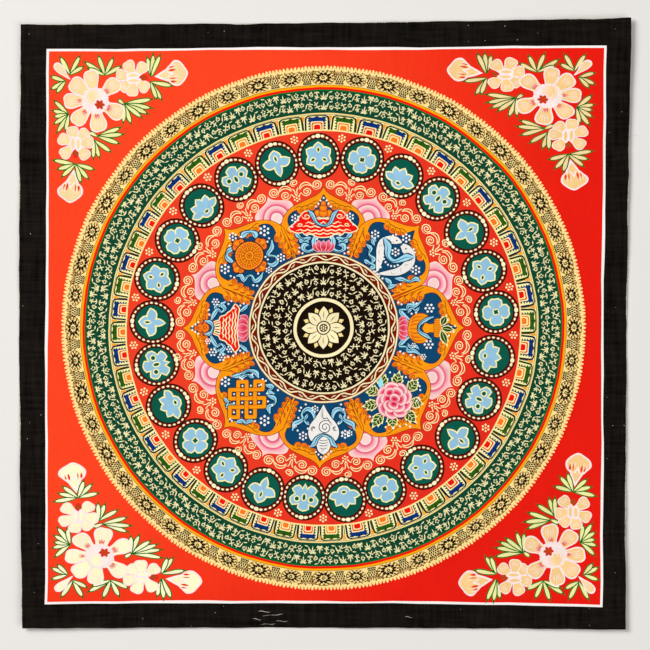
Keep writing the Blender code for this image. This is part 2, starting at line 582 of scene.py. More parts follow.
@dataclass
class FenceRing:
    """The ring of fence panels: dark arches on cream, with a scrolled block, notches and warm squares.

    The painter stepped the panels off by eye, wider down the right side than up the left, and
    changed from blue to green halfway through the fourth, so each stretch has its own step.
    """

    inner: float = 137.1
    outer: float = 147.6
    rim: float = 1.2
    panels: tuple[int, ...] = (0, 24, 45, 51)
    degrees: tuple[float, ...] = (-1.8, 177.8, 314.3, 358.2)
    changed: int = 3
    drawn_step: float = 7.0
    sides: int = 300

    def paint(self, wheel: Wheel) -> None:
        """Paint the gold rims, the cream ground and every panel."""
        rims = ((self.rim, Pigment.GOLD), (0.3, Pigment.INK_SOFT), (0.0, Pigment.CREAM))
        for wider, paint in rims:
            wheel.disc(self.outer + wider, paint, self.sides)
        centres = np.interp(np.arange(self.panels[-1]), self.panels, self.degrees)
        steps = np.gradient(centres)
        for i, (centre, step) in enumerate(zip(centres, steps, strict=True)):
            pen = wheel.band(self.inner, centre).at(0, 0, 0, (step / self.drawn_step, 1.0))
            green = bool(i % 2) != (i > self.changed)
            self.panel(pen, green, i)
        wheel.disc(self.inner, Pigment.GOLD, self.sides)
        wheel.disc(self.inner - 0.9, GROUND_RED, self.sides)

    def panel(self, pen: Pen, green: bool, i: int) -> None:
        """One panel: gusset, arch line, block with a knob, slanting teeth at its sides and squares."""
        dark, edge, warm, core = (
            (Pigment.FENCE_GREEN, Pigment.FENCE_MOSS, Pigment.FENCE_ORANGE, Pigment.SAFFRON_DEEP)
            if green
            else (Pigment.FENCE_BLUE, Pigment.FENCE_NAVY, Pigment.SCARLET_LIGHT, Pigment.RED_LINE)
        )
        pen.fill([(-9.7, 10.0), (-7.3, 10.0), (-8.2, 6.2), (-8.9, 6.2)], Pigment.FENCE_SAND)
        pen.line([(-8.8, 6.4), (-8.6, 0.4)], 0.5, Pigment.INK_SOFT, 0)
        for grow, paint in ((0.0, edge), (1.15, Pigment.CREAM)):
            x, top, cut = 7.6 - grow, 10.3 - 0.7 * grow, 2.4 - 0.4 * grow
            arch = [(x + 0.4, 0), (x, top - cut), (x - 0.25 * cut, top - 0.35 * cut), (x - cut, top)]
            pen.fill(mirrored([(0, top), *arch[::-1]]), paint)
        block = [(0, 9.5), (0.5, 9.3), (0.9, 8.6), (3.2, 8.3), (4.6, 9.0), (5.9, 8.5), (4.9, 7.5), (6.0, 6.6)]
        block += [(4.7, 6.1), (4.4, 0.2), (3.4, 0.2), (3.4, 5.0), (0, 5.2)]
        for flip in (True, False):
            half = pen.at(0, 0, 0, (0.93, 0.98), flip)
            changing = i == self.changed and not flip
            body = Pigment.FENCE_BLUE if changing else dark
            half.edged(block, 0.45, edge, body)
            for y in (0.9, 2.9, 4.9):
                tooth = y + 0.15 * math.sin(i + y)
                half.line([(4.2, tooth + 0.5), (5.9, tooth - 0.4)], 0.9, edge if y < 3 else body, 0)
        squares = (
            (4.2, 5.9, Pigment.CREAM), (3.5, 5.15, warm), (2.8, 4.3, Pigment.CREAM), (2.1, 3.5, core),
        )
        for wide, top, paint in squares:
            arch = [(0, top), (wide - 0.8, top), (wide - 0.15, top - 0.7), (wide, 0.2), (0, 0.2)]
            pen.fill(mirrored(arch), paint)


class Charm(Enum):
    """The ornaments that take turns in the roundels."""

    LOTUS = "six-petalled lotus"
    CLOUD = "double cloud curl"
    QUATREFOIL = "four leaves in a cross"
    TREFOIL = "three-leaved sprig"
    PALMETTE = "opened palmette"


@dataclass
class RoundelRing:
    """The ring of roundels, each a teal disc in a beaded oxblood band with a sky-blue ornament.

    The painter set them by eye: they drift clockwise down the right of the ring and back again.
    """

    count: int = 25
    radius: float = 118.9
    first: float = -1.6
    drift: float = 2.3
    drift_at: float = 152.0
    drift_span: float = 38.0
    size: tuple[float, float] = (15.3, 16.1)
    middle: float = 11.7
    beads: int = 26
    bead_path: tuple[float, float] = (13.35, 14.0)
    blossoms: float = 131.8

    def paint(self, wheel: Wheel) -> None:
        """Paint the seed blossoms between the roundels, then each roundel with its ornament."""
        angles = self.first + np.arange(self.count) * 360 / self.count
        angles += self.drift * np.exp(-(((angles - self.drift_at) / self.drift_span) ** 2))
        for angle in angles + 180 / self.count:
            wheel.pen(float(angle)).blossom(0, self.blossoms, 2.15, 0.78, Pigment.SEED)
        charms = list(Charm)
        for i, angle in enumerate(angles):
            pen = wheel.pen(float(angle) + 0.15 * math.sin(i * 1.9)).at(0, self.radius + math.sin(i * 2.3))
            self.roundel(pen, i)
            self.charm(pen, charms[i * 2 % len(charms)])

    def roundel(self, pen: Pen, i: int) -> None:
        """One disc: dark outline, oxblood band with beads that swell at top and foot, teal middle."""
        across, along = self.size
        pen.fill(oval(across, along, 40), Pigment.OXBLOOD_DARK)
        pen.fill(oval(across - 0.8, along - 0.8, 40), Pigment.OXBLOOD)
        pen.discs(40, (self.middle + 0.8, Pigment.OXBLOOD_DARK), (self.middle, Pigment.TEAL_DISC))
        for a in (np.arange(self.beads) / self.beads + 0.01 * math.sin(i * 3.1)) * FULL_TURN:
            pole = abs(math.cos(a)) ** 36
            bead = turned(oval(1.08 + 0.7 * pole, 0.72 + 0.7 * pole, 6 if pole < 0.2 else 10), a)
            pen.fill(bead + np.array((math.sin(a), math.cos(a))) * self.bead_path, Pigment.BEAD)

    def charm(self, pen: Pen, kind: Charm) -> None:
        """Paint one ornament twice: a little larger in cream for its outline, then in sky blue."""
        shapes, holes = self.outlines(kind)
        for shape in shapes:
            pen.fill(grown(shape, 0.95), Pigment.CREAM)
        for shape in shapes:
            pen.fill(shape, Pigment.SKY)
        for hole in holes:
            pen.edged(hole, 0.8, Pigment.CREAM, Pigment.TEAL_DISC)

    @staticmethod
    def outlines(kind: Charm) -> tuple[list[Points], list[Points]]:
        """The filled shapes and the holes of an ornament, about 19 mm across."""
        around = [k * FULL_TURN / 6 for k in range(6)]
        if kind is Charm.LOTUS:
            return (
                [turned(leaf(9.3, 6.6, 0, 6, 1.25), a) for a in around],
                [turned(leaf(3.2, 1.7, 0, 4), a) + turned(np.array([(0, 3.0)]), a) for a in around[::2]],
            )
        if kind is Charm.CLOUD:
            head = curve(
                [(0, 9.0), (3.4, 7.6), (3.0, 4.2), (7.6, 5.4), (9.2, 1.2), (6.0, -2.0), (8.2, -5.0)]
                + [(4.2, -7.8), (1.6, -5.0), (0, -8.8)],
                2,
            )
            eyes = [circle(1.5, 8, (x, 1.4)) for x in (4.9, -4.9)]
            return [mirrored(head)], [*eyes, oval(1.1, 2.2, 8)]
        if kind is Charm.QUATREFOIL:
            return (
                [turned(rosette(4.7, 3, 0.28, 4) + (0, 5.0), k * math.pi / 2) for k in range(4)]
                + [circle(3.4, 10)],
                [rosette(1.9, 4, 0.35, 3)],
            )
        if kind is Charm.TREFOIL:
            sides = [turned(leaf(9.4, 6.2, 1.3 * s, 6, 1.15), s * 1.15) - (0, 1.2) for s in (-1, 1)]
            stem = leaf(9.6, 4.2, 0, 5, 0.8) * (1, -0.92) + (0, 0.2)
            return [*sides, leaf(9.6, 7.4, 0, 7, 1.2) - (0, 0.6), stem], [leaf(4.2, 1.6, 0, 4) + (0, 1.4)]
        fans = [turned(leaf(10.6, 4.6, 0.5 * a, 6, 1.5), a) - (0, 5.0) for a in (-1.25, -0.62, 0, 0.62, 1.25)]
        return [*fans, oval(4.0, 3.1, 10, (0, -5.6))], [oval(1.5, 0.9, 7, (0, -5.2))]


@dataclass
class CurlZone:
    """The red ground between lotus and roundels: curls and seed blossoms from petal tip to petal tip."""

    tips: tuple[float, ...]
    line: float = 0.66
    middle: float = 98.0
    drawn_width: float = 38.6

    def paint(self, wheel: Wheel) -> None:
        """Paint each sector between two neighbouring petal tips, and its mirror image."""
        ends = np.array((*self.tips, self.tips[0] + 360))
        for i, (start, end) in enumerate(zip(ends[:-1], ends[1:], strict=True)):
            width = math.radians(end - start) * self.middle
            spot = wheel.band(self.middle, float(start + end) / 2)
            pen = spot.at(0, 0, 0, (width / self.drawn_width, 1.0))
            pen.blossom(0, -6.0, 2.0, 0.72, Pigment.SEED)
            loop = coil(2.5, 1.7 if i % 2 else -1.7, math.pi * (i % 2), 16, 0.2) * (1.15, 1.0) + (0, 4.6)
            pen.line(loop, self.line, Pigment.SEED, 0.1)
            for half in pen.halves():
                self.half(half, 0.3 * math.sin(i * 2.1))

    def half(self, pen: Pen, jog: float) -> None:
        """A far and a lower curl, a wing that runs over the lower into the far one, an arc and a stem."""
        far = coil(3.7, -2.1, 3.6, 24, 0.1) * (1.0, 0.92) + (14.4, 1.5 + jog)
        lower = coil(3.5, -2.0, 4.71, 24, 0.1) * (1.05, 0.92) + (7.4, -2.6 - jog)
        wing = [(2.2, -0.4), (4.2, 2.6), (7.4, 3.8), (10.0, 2.4), far[0]]
        a = np.linspace(-1.2, 0.75, 9)
        arc = np.column_stack((7.4 + 4.8 * np.sin(a), -2.6 + 4.6 * np.cos(a)))
        for line in (far, lower, curve(wing, 3), arc):
            pen.line(line, self.line, Pigment.SEED, 0.1)
        pen.sweep([(0.9, -3.6), (0.7, -1.4), (1.7, 1.0)], self.line, Pigment.SEED, 0.15, 3)
        pen.sweep([(1.9, -4.6), (2.8, -3.6), lower[0]], self.line, Pigment.SEED, 0.1, 2)


@dataclass
class Lotus:
    """Eight saffron petals with scrolled rims and blue panels, and eight graded pink ones between."""

    tips: tuple[float, ...]
    seams: tuple[float, ...]
    rim: tuple[tuple[float, float], ...] = (
        (0, 97.2), (2.2, 94.0), (6.0, 91.2), (11.0, 88.9), (16.2, 86.6), (21.0, 83.9),
        (24.8, 80.6), (27.4, 76.6), (28.8, 72.4), (29.4, 68.8),
    )
    panel: tuple[tuple[float, float], ...] = (
        (0, 92.2), (1.5, 89.0), (4.2, 85.4), (9.5, 82.6), (14.5, 82.0), (19.5, 81.0), (23.0, 78.4),
        (24.3, 75.0), (23.4, 71.0), (21.6, 67.4), (20.9, 61.0), (19.8, 54.0), (18.8, 48.0),
    )
    pink_rim: tuple[tuple[float, float], ...] = (
        (0, 98.8), (0.8, 96.8), (3.0, 94.9), (7.2, 93.1), (11.2, 91.4), (13.9, 88.8),
        (13.9, 84.4), (12.6, 79.0), (9.0, 73.0), (0, 70.0),
    )
    pink_heart: tuple[float, float] = (0.0, 82.2)

    def paint(self, wheel: Wheel) -> None:
        """Paint the pink petals, then the saffron ones over them."""
        for seam in self.seams:
            self.pink(wheel.pen(seam))
        for tip in self.tips:
            self.saffron(wheel.pen(tip))
        for seam in self.seams:
            wheel.pen(seam).line([(0, 48), (0.15, 62), (-0.1, 75.4)], 0.45, Pigment.SIENNA, 0)

    def pink(self, pen: Pen) -> None:
        """One pink petal: three nested bands, each deep inside and pale towards its rim."""
        heart = self.pink_heart
        outline = mirrored(curve(self.pink_rim, 3))
        body = pen.wash(Pigment.PINK, Pigment.PINK_PALE, heart, 9.3, 12.6)
        pen.edged(outline, 0.35, Pigment.RED_LINE, body)
        for radius, sides, paint in (
            (10.2, 30, pen.wash(Pigment.PINK_DEEP, Pigment.PINK, heart, 8.8, 10.2)),
            (8.8, 30, Pigment.PINK_PALE),
            (8.0, 28, pen.wash(Pigment.PINK, Pigment.PINK_PALE, heart, 5.2, 7.4)),
            (5.6, 24, pen.wash(Pigment.PINK_DEEP, Pigment.PINK, heart, 4.0, 5.6)),
            (4.0, 20, Pigment.PEACH_EDGE),
            (3.4, 18, Pigment.PINK_PALE),
        ):
            pen.fill(circle(radius, sides, heart), paint)

    def saffron(self, pen: Pen) -> None:
        """One saffron petal with its blue panel, scrolled lobes and brown contour lines."""
        outline = mirrored([*curve(self.rim, 3), (26.6, 62.0), (19.4, 47.0), (0, 47.0)])
        pen.edged(outline, 0.45, Pigment.SIENNA, Pigment.SAFFRON)
        panel = mirrored([*curve(self.panel, 3), (0, 48.0)])
        pen.edged(panel, 0.5, Pigment.NAVY, Pigment.PANEL_BLUE)
        for half in pen.halves():
            self.lobes(half)

    def lobes(self, pen: Pen) -> None:
        """Scrolls along the right half of one petal: big ones low down, small ones near the tip."""
        low = ((21.6, 67.0, 2.9), (20.7, 62.0, 2.9), (19.5, 57.3, 2.7), (18.4, 53.0, 2.4))
        for x, y, r in low:
            head = turned(oval(r + 0.7, 0.78 * r, 14), -0.45) + (x + 0.4, y)
            pen.edged(head, 0.3, Pigment.SIENNA, Pigment.SAFFRON_DEEP)
            pen.fill(turned(oval(r, 0.5 * r, 12), -0.45) + (x + 1.4, y + 1.0), Pigment.SAFFRON)
            whorl = coil(1.5, 1.4, 3.6, 12, 0.15) * (1.25, 0.95)
            pen.line(whorl + (x - 0.5, y - 0.1), 0.5, Pigment.SIENNA, 0.2)
            reach = min(4.4, 0.414 * y - x - 0.5)
            tail = [(x + 1.2, y - 1.3), (x + 0.7 * reach, y - 0.6), (x + reach, y + 1.7)]
            pen.sweep(tail, 0.45, Pigment.SIENNA, 0.3, 2)
        high = ((15.6, 81.6, 2.5), (11.4, 82.2, 2.4), (7.7, 83.4, 2.1), (4.6, 85.2, 1.7))
        for x, y, r in high:
            pen.discs(12, (r + 0.35, Pigment.SIENNA), (r, Pigment.SAFFRON_DEEP), centre=(x, y))
            pen.fill(oval(r, r * 0.7, 10, (x + 0.4, y + 1.3)), Pigment.SAFFRON)
            pen.line(coil(1.3, 1.3, 3.4, 10, 0.2) + (x, y), 0.5, Pigment.SIENNA, 0.2)
            brow = [(x - 2.0, y + 0.8), (x - 0.4, y + 2.7), (x + 2.6, y + 2.2), (x + 4.4, y + 0.9)]
            pen.sweep(brow, 0.5, Pigment.SIENNA, 0.3, 2)
        for line in (
            [(2.6, 92.0), (8.0, 88.8), (14.0, 86.6), (19.0, 84.2)],
            [(20.4, 82.6), (24.6, 79.0), (26.4, 74.4), (26.6, 70.2)],
            [(23.6, 78.9), (25.2, 75.4), (24.6, 71.6)],
        ):
            pen.sweep(line, 0.42, Pigment.SAFFRON_DEEP, 0.35, 3)


@dataclass
class Emblems:
    """The eight lucky signs of old temple painting, one in each blue panel, among ribbons and seeds."""

    heart: float = 73.0
    seed_radius: float = 0.76

    def paint(self, wheel: Wheel) -> None:
        """Paint each sign: four stand with their foot on the heart, four upright on the sheet."""
        standing = ((0, self.parasol), (90, self.vase), (180, self.conch), (270, self.banner))
        for degrees, sign in standing:
            sign(wheel.pen(degrees))
        upright = ((45, self.fishes), (135, self.peony), (225, self.knot), (315, self.wheel_sign))
        for degrees, sign in upright:
            sign(wheel.pen(degrees).at(0, self.heart, -degrees))

    def ribbons(self, pen: Pen, *ribbons: tuple[float, Sequence]) -> None:
        """Silk ribbons, each with its width: navy edge, sky-blue body, pale light and a fold line."""
        for width, knots in ribbons:
            path = curve(knots, 3)
            swell = 1.2 * width * (0.78 + 0.34 * np.sin(np.linspace(0.3, 9.5, len(path))))
            pen.line(path, swell + 1.3, Pigment.NAVY, 0.1)
            pen.line(path, swell, Pigment.SILK, 0.16)
            pen.line(path + (0.24 * width, 0.2 * width), 0.3 * width, Pigment.AQUA, 0.3)
            pen.line(path - (0.16 * width, 0.08 * width), 0.5, Pigment.NAVY, 0.3)

    def pair(self, pen: Pen, *ribbons: tuple[float, Sequence]) -> None:
        """Ribbons at the right of a sign, and their mirror images."""
        for half in pen.halves():
            self.ribbons(half, *ribbons)

    def seeds(self, pen: Pen, blossoms: Sequence, singles: Sequence = (), mirror: Sequence = ()) -> None:
        """White seed blossoms and single seeds on the blue ground; the last ones go on both sides."""
        for x, y, reach in blossoms:
            pen.blossom(x, y, reach + 0.4, 0.3 * reach + 0.22, Pigment.LIME_WHITE)
        both = ((s * x, y) for s in (-1, 1) for x, y in mirror)
        pen.dots([*singles, *both], self.seed_radius, Pigment.LIME_WHITE)

    def seat(self, pen: Pen, wide: float, low: float, high: float) -> None:
        """A small pink lotus seat: side petals, then the front one, each with a deep heart."""
        tall = high - low
        petals = ((-0.78, -32, 0.8), (0.78, 32, 0.8), (-0.42, -14, 0.95), (0.42, 14, 0.95), (0, 0, 0.9))
        for x, turn, size in petals:
            petal = pen.at(x * wide * 0.72, low, turn, size)
            body = leaf(tall, wide * 0.8, 0, 6, 1.1)
            deep = petal.wash(Pigment.ROSE, Pigment.PINK, (0, 0.35 * tall), 0.5, 0.5 * tall)
            petal.edged(body, 0.3, Pigment.PINK_PALE, deep)
            petal.line([(0, 0.1 * tall), (0, 0.7 * tall)], 0.5, Pigment.ROSE, 0.3)

    def parasol(self, pen: Pen) -> None:
        """The parasol: a scalloped canopy of red and gold scrolls over its seat, with finial and ribbon."""
        loop = [(5.4, 65), (6.8, 60), (6.6, 54.6), (10.6, 52.8), (14.2, 54.8), (13.4, 57.6), (10.2, 57.2)]
        self.pair(
            pen,
            (2.2, [(8.6, 62.4), (13.4, 61.6), (17.2, 63.4), (19.4, 66.4)]),
            (2.1, [(10.2, 59.8), (13.6, 59.6), (16.8, 61.2)]),
            (2.4, loop),
        )
        self.seat(pen, 6.0, 52.4, 61.4)
        canopy = [(0, 75), (4.4, 76.8), (8.6, 80), (11.6, 80.8), (14.8, 78.8), (18.6, 73.4), (23.6, 68.8)]
        canopy += [(17.8, 66.2), (14.6, 66.6), (12.4, 64.8), (8.4, 65.2), (4.2, 63.2), (0, 62.8)]
        pen.edged(mirrored(curve(canopy, 3)), 0.75, Pigment.GOLD_PALE, Pigment.RED_LINE)
        t = np.linspace(-1, 1, 25)
        hems = ((76.2, 8, 1, 3), (73.4, 12.4, 1.4, 5), (70.8, 14.6, 1.2, 5), (68.2, 19, 1.3, 7))
        for y, wide, dip, lobes in (*hems, (65.6, 12.6, 0.9, 5)):
            wave = dip * np.abs(np.sin(t * lobes * math.pi / 2)) - 0.6 * t * t
            pen.line(np.column_stack((t * wide, y - wave)), 0.8, Pigment.GOLD_PALE, 0.1)
        for half in pen.halves():
            half.line(coil(2.7, 1.3, 1.2, 14, 0.2) * (1.2, 0.8) + (11.6, 77.4), 0.7, Pigment.GOLD_PALE, 0.15)
            half.line(coil(1.8, 1.2, 2.0, 12, 0.2) * (1.3, 0.7) + (16.4, 71.6), 0.65, Pigment.GOLD_PALE, 0.15)
        for x, y, r in ((-3.9, 79.4, 2.3), (3.9, 79.4, 2.3), (0, 79.6, 2.9), (0, 83, 2.5), (0, 86.2, 1.7)):
            pen.discs(12, (r + 0.4, Pigment.SIENNA), (r, Pigment.SAFFRON_DEEP), centre=(x, y))
            pen.fill(circle(r * 0.55, 8, (x - 0.3, y + 0.4)), Pigment.SAFFRON)
        sash = [(-10.6, 81.6), (-7.6, 78.8), (-4.8, 72.8), (0, 70.4), (4.8, 72.8), (7.2, 78.6), (10.4, 81.8)]
        self.ribbons(pen, (1.9, sash))
        self.seeds(
            pen,
            [(-19.4, 76, 1.9), (18.4, 77, 1.8)],
            [(0, 90), (20.6, 71.8), (-21.6, 70.4), (5, 62), (-4.6, 61.6)],
            [(2.1, 88.2), (3.5, 86), (5.2, 84), (11.4, 64.2), (16.8, 55.6), (17.2, 52.8), (14.6, 51.8)],
        )

    def vase(self, pen: Pen) -> None:
        """The vase: a ribbed bowl that opens around its neck, a fluted lip, leaves and streamers."""
        streamer = [(4.8, 61), (9.4, 55), (12.4, 53), (12.6, 57.4), (16, 58.6), (15.6, 62.8), (18.6, 67.6)]
        self.pair(pen, (2.2, streamer), (1.5, [(10.6, 58.4), (13.6, 61), (12, 63.6), (14.4, 66.2)]))
        self.seat(pen, 7.0, 51.8, 60.4)
        bowl = [(0, 58.6), (5.6, 59.8), (9.4, 63.4), (10.2, 68.4), (8.4, 72), (5.4, 72.4), (4.2, 69.4)]
        bowl += [(3, 66.6), (0, 65.4)]
        pen.edged(mirrored(curve(bowl, 3)), 0.5, Pigment.SIENNA, Pigment.SAFFRON)
        for x in (-8.2, -5.8, -3.2, 0, 3.2, 5.8, 8.2):
            rib = [(x * 0.55, 59.4 + 0.02 * x * x), (x * 0.98, 63), (x * 1.02, 65.6 + 0.06 * x * x)]
            pen.sweep(rib, 0.9, Pigment.SAFFRON_DEEP, 0.2, 2)
            pen.sweep(np.add(rib, (0.5, 0)), 0.36, Pigment.SIENNA, 0.2, 2)
        neck = [(0, 77.4), (3, 77.2), (2.6, 73.6), (3.8, 70.4), (0, 68.6)]
        lip = [(0, 81.6), (5.8, 81.2), (6.5, 79.2), (5.8, 76.9), (0, 76.6)]
        for shape in (neck, lip):
            pen.edged(mirrored(shape), 0.45, Pigment.SIENNA, Pigment.SAFFRON)
        for x in np.linspace(-5.0, 5.0, 9):
            pen.line([(x, 77.2), (x, 81)], 0.42, Pigment.RED_GAP, 0)
        for x, y, turn, long in ((-1.8, 81.4, -62, 7.4), (1.8, 81.4, 68, 11.0), (0.2, 81.6, 8, 8.6)):
            self.foliage(pen.at(x, y, turn), long, 4.4)
        sash = [(-8, 76), (-6, 71), (-2.8, 66.8), (0, 65.8), (2.8, 67), (5.4, 71.4), (7.8, 75)]
        self.ribbons(pen, (1.7, sash))
        self.seeds(
            pen,
            [(-13.8, 73.2, 2.2), (11.4, 73, 2.2), (19.8, 69.2, 1.2), (11.8, 62.6, 1)],
            [(-17.8, 62), (-17.2, 64.2), (-10.8, 64), (-16.4, 54), (16.2, 53.2), (17.6, 55.4), (5.4, 86.8)]
            + [(-5.4, 85.8), (-1.2, 91), (2.8, 90), (18.6, 60.4), (20.2, 62.8), (-10, 61), (-17.6, 51.8)],
        )

    def conch(self, pen: Pen) -> None:
        """The conch: a white shell with its mouth towards the heart and its whorls outwards."""
        streamer = [(5.6, 64), (7.6, 57.6), (11.6, 56), (14.6, 59), (13.8, 62.6), (16.8, 64.8), (20.2, 66.6)]
        self.pair(pen, (2.5, [*streamer, (21, 70.6)]), (1.7, [(11, 59.6), (12.6, 64), (9.6, 66.6)]))
        body = [(0, 53), (2.2, 57), (5.4, 62.2), (9.2, 67), (10.6, 72.4), (9, 77.4), (5.6, 79), (4.8, 81.6)]
        outline = mirrored(curve([*body, (3.4, 85.4), (0, 87.8)], 3))
        pen.edged(outline, 0.5, Pigment.LAMP_BLACK, Pigment.SHELL_WHITE)
        pen.line(coil(5.4, -2.2, 4.5, 34, 0.06) + (-1.2, 68.8), 0.55, Pigment.LAMP_BLACK, 0.1)
        pen.sweep([(-5.4, 67.6), (-2.6, 62.4), (0.2, 62.6), (0.3, 55.8)], 0.55, Pigment.LAMP_BLACK, 0.25, 4)
        pen.sweep([(1.4, 63.2), (1.3, 58.6), (0.6, 55.4)], 0.42, Pigment.SHELL_GREY, 0.25, 3)
        for x in (-7.2, 6.4):
            for r in (1.8, 1.0):
                pen.line(coil(r, 0.8, x, 9, 0.6) + (1.1 * x, 69.6), 0.45, Pigment.LAMP_BLACK, 0.2)
        sash = [(-9.6, 82.4), (-6.8, 80.4), (-4.6, 76.4), (0, 74), (4.6, 76.4), (6.8, 80.4), (9.6, 82.2)]
        self.ribbons(pen, (2.3, sash))
        for y, wide in ((77.4, 3.4), (79.2, 3.6), (81, 3.4), (83, 2.8)):
            pen.sweep([(-wide, y), (0, y + 0.9), (wide, y)], 0.42, Pigment.LAMP_BLACK, 0.2, 3)
        pen.line(coil(1.3, 1.1, 0.4, 9) + (0.3, 85.2), 0.36, Pigment.SHELL_GREY, 0.2)
        self.seeds(
            pen,
            [(-14.8, 73.6, 2), (14.2, 74.6, 2), (19.6, 67.6, 0.6), (-13, 72.6, 0.4), (5.8, 56, 1.5)]
            + [(-17.8, 72.8, 1.3)],
            [(0, 90.6), (-9, 69.6), (-10.4, 66.2), (10.8, 69.4), (17.8, 70.8), (-14, 56.2), (15.4, 55)]
            + [(16.4, 57)],
            [(1.6, 89.4), (3.4, 87.6), (5.2, 85.8), (17.2, 62), (12.2, 52.8)],
        )

    def banner(self, pen: Pen) -> None:
        """The victory banner: red and gold tiers that widen downwards, streamers and a finial."""
        streamer = [(4.6, 78), (9.4, 76), (12.8, 73.4), (10.6, 70.6), (13.6, 68.4), (16.4, 70.8)]
        self.pair(
            pen,
            (2.2, [*streamer, (18.2, 67.6)]),
            (1.5, [(13.4, 75.8), (15.8, 73.6), (15, 71.4)]),
            (1.9, [(6.4, 65), (10.8, 58.6), (16.2, 52.2)]),
        )
        for side in (-1, 1):
            fold = [(side * 2.6, 83.2), (side * 5.6, 80.8), (side * 9.6, 81), (side * 8.2, 78.2)]
            pen.sweep(fold, 2.3, Pigment.SIENNA, 0.2)
            pen.sweep(fold, 1.5, Pigment.SAFFRON_DEEP, 0.2)
        self.seat(pen, 8.2, 51.8, 61.0)
        body = [(0, 76.8), (3.6, 76.4), (5.2, 72.2), (7.6, 71.2), (8.6, 68), (10.6, 66.2), (12.4, 63.6)]
        body += [(16.4, 61.2), (13.4, 58.6)]
        outline = mirrored([*curve(body, 2), (6, 59.8), (0, 60.4)])
        pen.edged(outline, 0.75, Pigment.GOLD_PALE, Pigment.RED_LINE)
        t = np.linspace(-1, 1, 23)
        for y, wide, lobes in ((70.2, 7, 4), (68.2, 8, 3), (66, 9.6, 5), (63.8, 11.4, 4), (61.8, 13.6, 5)):
            wave = 0.9 * np.abs(np.sin(t * lobes * math.pi / 2)) + 0.5 * t * t
            pen.line(np.column_stack((t * wide, y - wave)), 0.85, Pigment.GOLD_PALE, 0.1)
        pen.fill(mirrored([(0, 76), (3.2, 75.8), (4.8, 71.6), (0, 71.2)]), Pigment.GOLD_PALE)
        stripes = (Pigment.MOSS, Pigment.RED_GAP, Pigment.MOSS, Pigment.RED_GAP)
        for x, paint in zip((-3.0, -1.1, 1.1, 3.0), stripes, strict=True):
            pen.line([(x * 1.1, 71.8), (x * 0.8, 75)], 0.8, paint, 0)
        for y, r in ((82.0, 3.2), (85.4, 2.6), (88.0, 1.5)):
            pen.fill(oval(r + 0.4, r * 0.85 + 0.35, 12, (0, y)), Pigment.SIENNA)
            pen.fill(oval(r, r * 0.85, 12, (0, y)), Pigment.SAFFRON_DEEP)
            pen.line(coil(r * 0.55, 1.1, y, 8) + (0, y), 0.42, Pigment.SIENNA, 0.2)
        self.ribbons(pen, (1.9, [(-4.6, 81.8), (-3.8, 78.2), (0, 76.4), (3.8, 78.2), (4.6, 81.8)]))
        self.seeds(
            pen,
            [(-17, 76.4, 1.8), (18, 74.8, 1.6), (-20.4, 70.4, 1.7), (-9.4, 79.6, 1.2), (-14.6, 64.6, 1.5)],
            [(-19.8, 66), (18.8, 64), (16.8, 66), (13.8, 62), (9.4, 79.2), (12.6, 79.6), (-19, 62.4)]
            + [(-17.4, 60.4)],
            [(1.2, 90.6), (2.5, 88.6), (3.9, 86.6), (15.6, 57.6), (17, 55.2)],
        )

    def foliage(self, pen: Pen, long: float, wide: float) -> None:
        """A small leaf: cream toothed outline, dark green blade and pale veins."""
        blade = leaf(long, wide, 0, 8)
        jagged = blade * (1 + 0.12 * np.cos(np.arange(len(blade)) * math.pi))[:, None]
        pen.fill(grown(jagged, 0.5), Pigment.CREAM)
        pen.fill(blade * (0.88, 0.94) + (0, 0.1), Pigment.MOSS)
        for t in (0.2, 0.42, 0.64) if wide > 5 else ():
            for side in (-1, 1):
                pen.line([(0, long * t), (side * wide * 0.36, long * (t + 0.17))], 0.42, Pigment.LEAF_PALE, 0)
        pen.line([(0, 0.6), (0, long * 0.86)], 0.4, Pigment.LEAF_PALE, 0.3)

    def fishes(self, pen: Pen) -> None:
        """Two white fish whose tails cross at the lower left and whose heads meet, around a ribbon."""
        self.ribbons(
            pen,
            (2.0, [(-22, 6.4), (-19, 3.4), (-20.6, -0.6), (-16.8, -3.4), (-18.2, -6.6)]),
            (1.8, [(-15.6, 8.4), (-18.4, 11), (-16.8, 5.6)]),
            (2.3, [(-23.4, -4.4), (-20.4, -6.4), (-16.4, -8.8), (-19.6, -10.6)]),
            (2.3, [(-9, -17.4), (-5, -20.8), (-6.6, -23.4), (-1.2, -22)]),
            (2.2, [(-2, -17.6), (3.6, -18), (8, -19.6), (12.4, -17.4), (15, -19.4)]),
        )
        upper = [(-14.4, -12.2), (-13.4, -7), (-12.6, -2), (-12.4, 3.4), (-10.2, 7.8), (-5.4, 9.4), (-1, 8.8)]
        lower = [(-12.6, -14), (-7, -13.8), (-0.4, -12.8), (5, -9.8), (8.2, -5.6), (8, -0.6), (5.2, 3.2)]
        for path, widths in (
            ([*upper, (2.4, 7.6)], (1.4, 4.0, 5.0, 5.4, 5.8, 5.6, 5.0, 1.2)),
            ([*lower, (2.6, 5.8)], (1.4, 3.4, 5.2, 6.2, 6.4, 6.8, 6.6, 3.2)),
        ):
            line = curve(path, 4)
            width = np.interp(np.linspace(0, 1, len(line)), np.linspace(0, 1, len(widths)), widths)
            fin = leaf(4.8, 2.2, 0.4, 4)
            for x, y, turn in ((*line[0], 200), (*line[0], 250), (*line[len(line) // 2], 150)):
                pen.at(x, y, turn).edged(fin, 0.4, Pigment.NAVY, Pigment.SHELL_WHITE)
            pen.line(line, width + 1.0, Pigment.NAVY, 0)
            pen.line(line, width, Pigment.SHELL_WHITE, 0)
            for k in (0.24, 0.36, 0.48, 0.6):
                scale = coil(1.2, 0.5, k * 9, 6, 0.8) + line[int(k * len(line))]
                pen.line(scale, 0.36, Pigment.SHELL_GREY, 0.2)
            gill, eye = line[-8], line[-5]
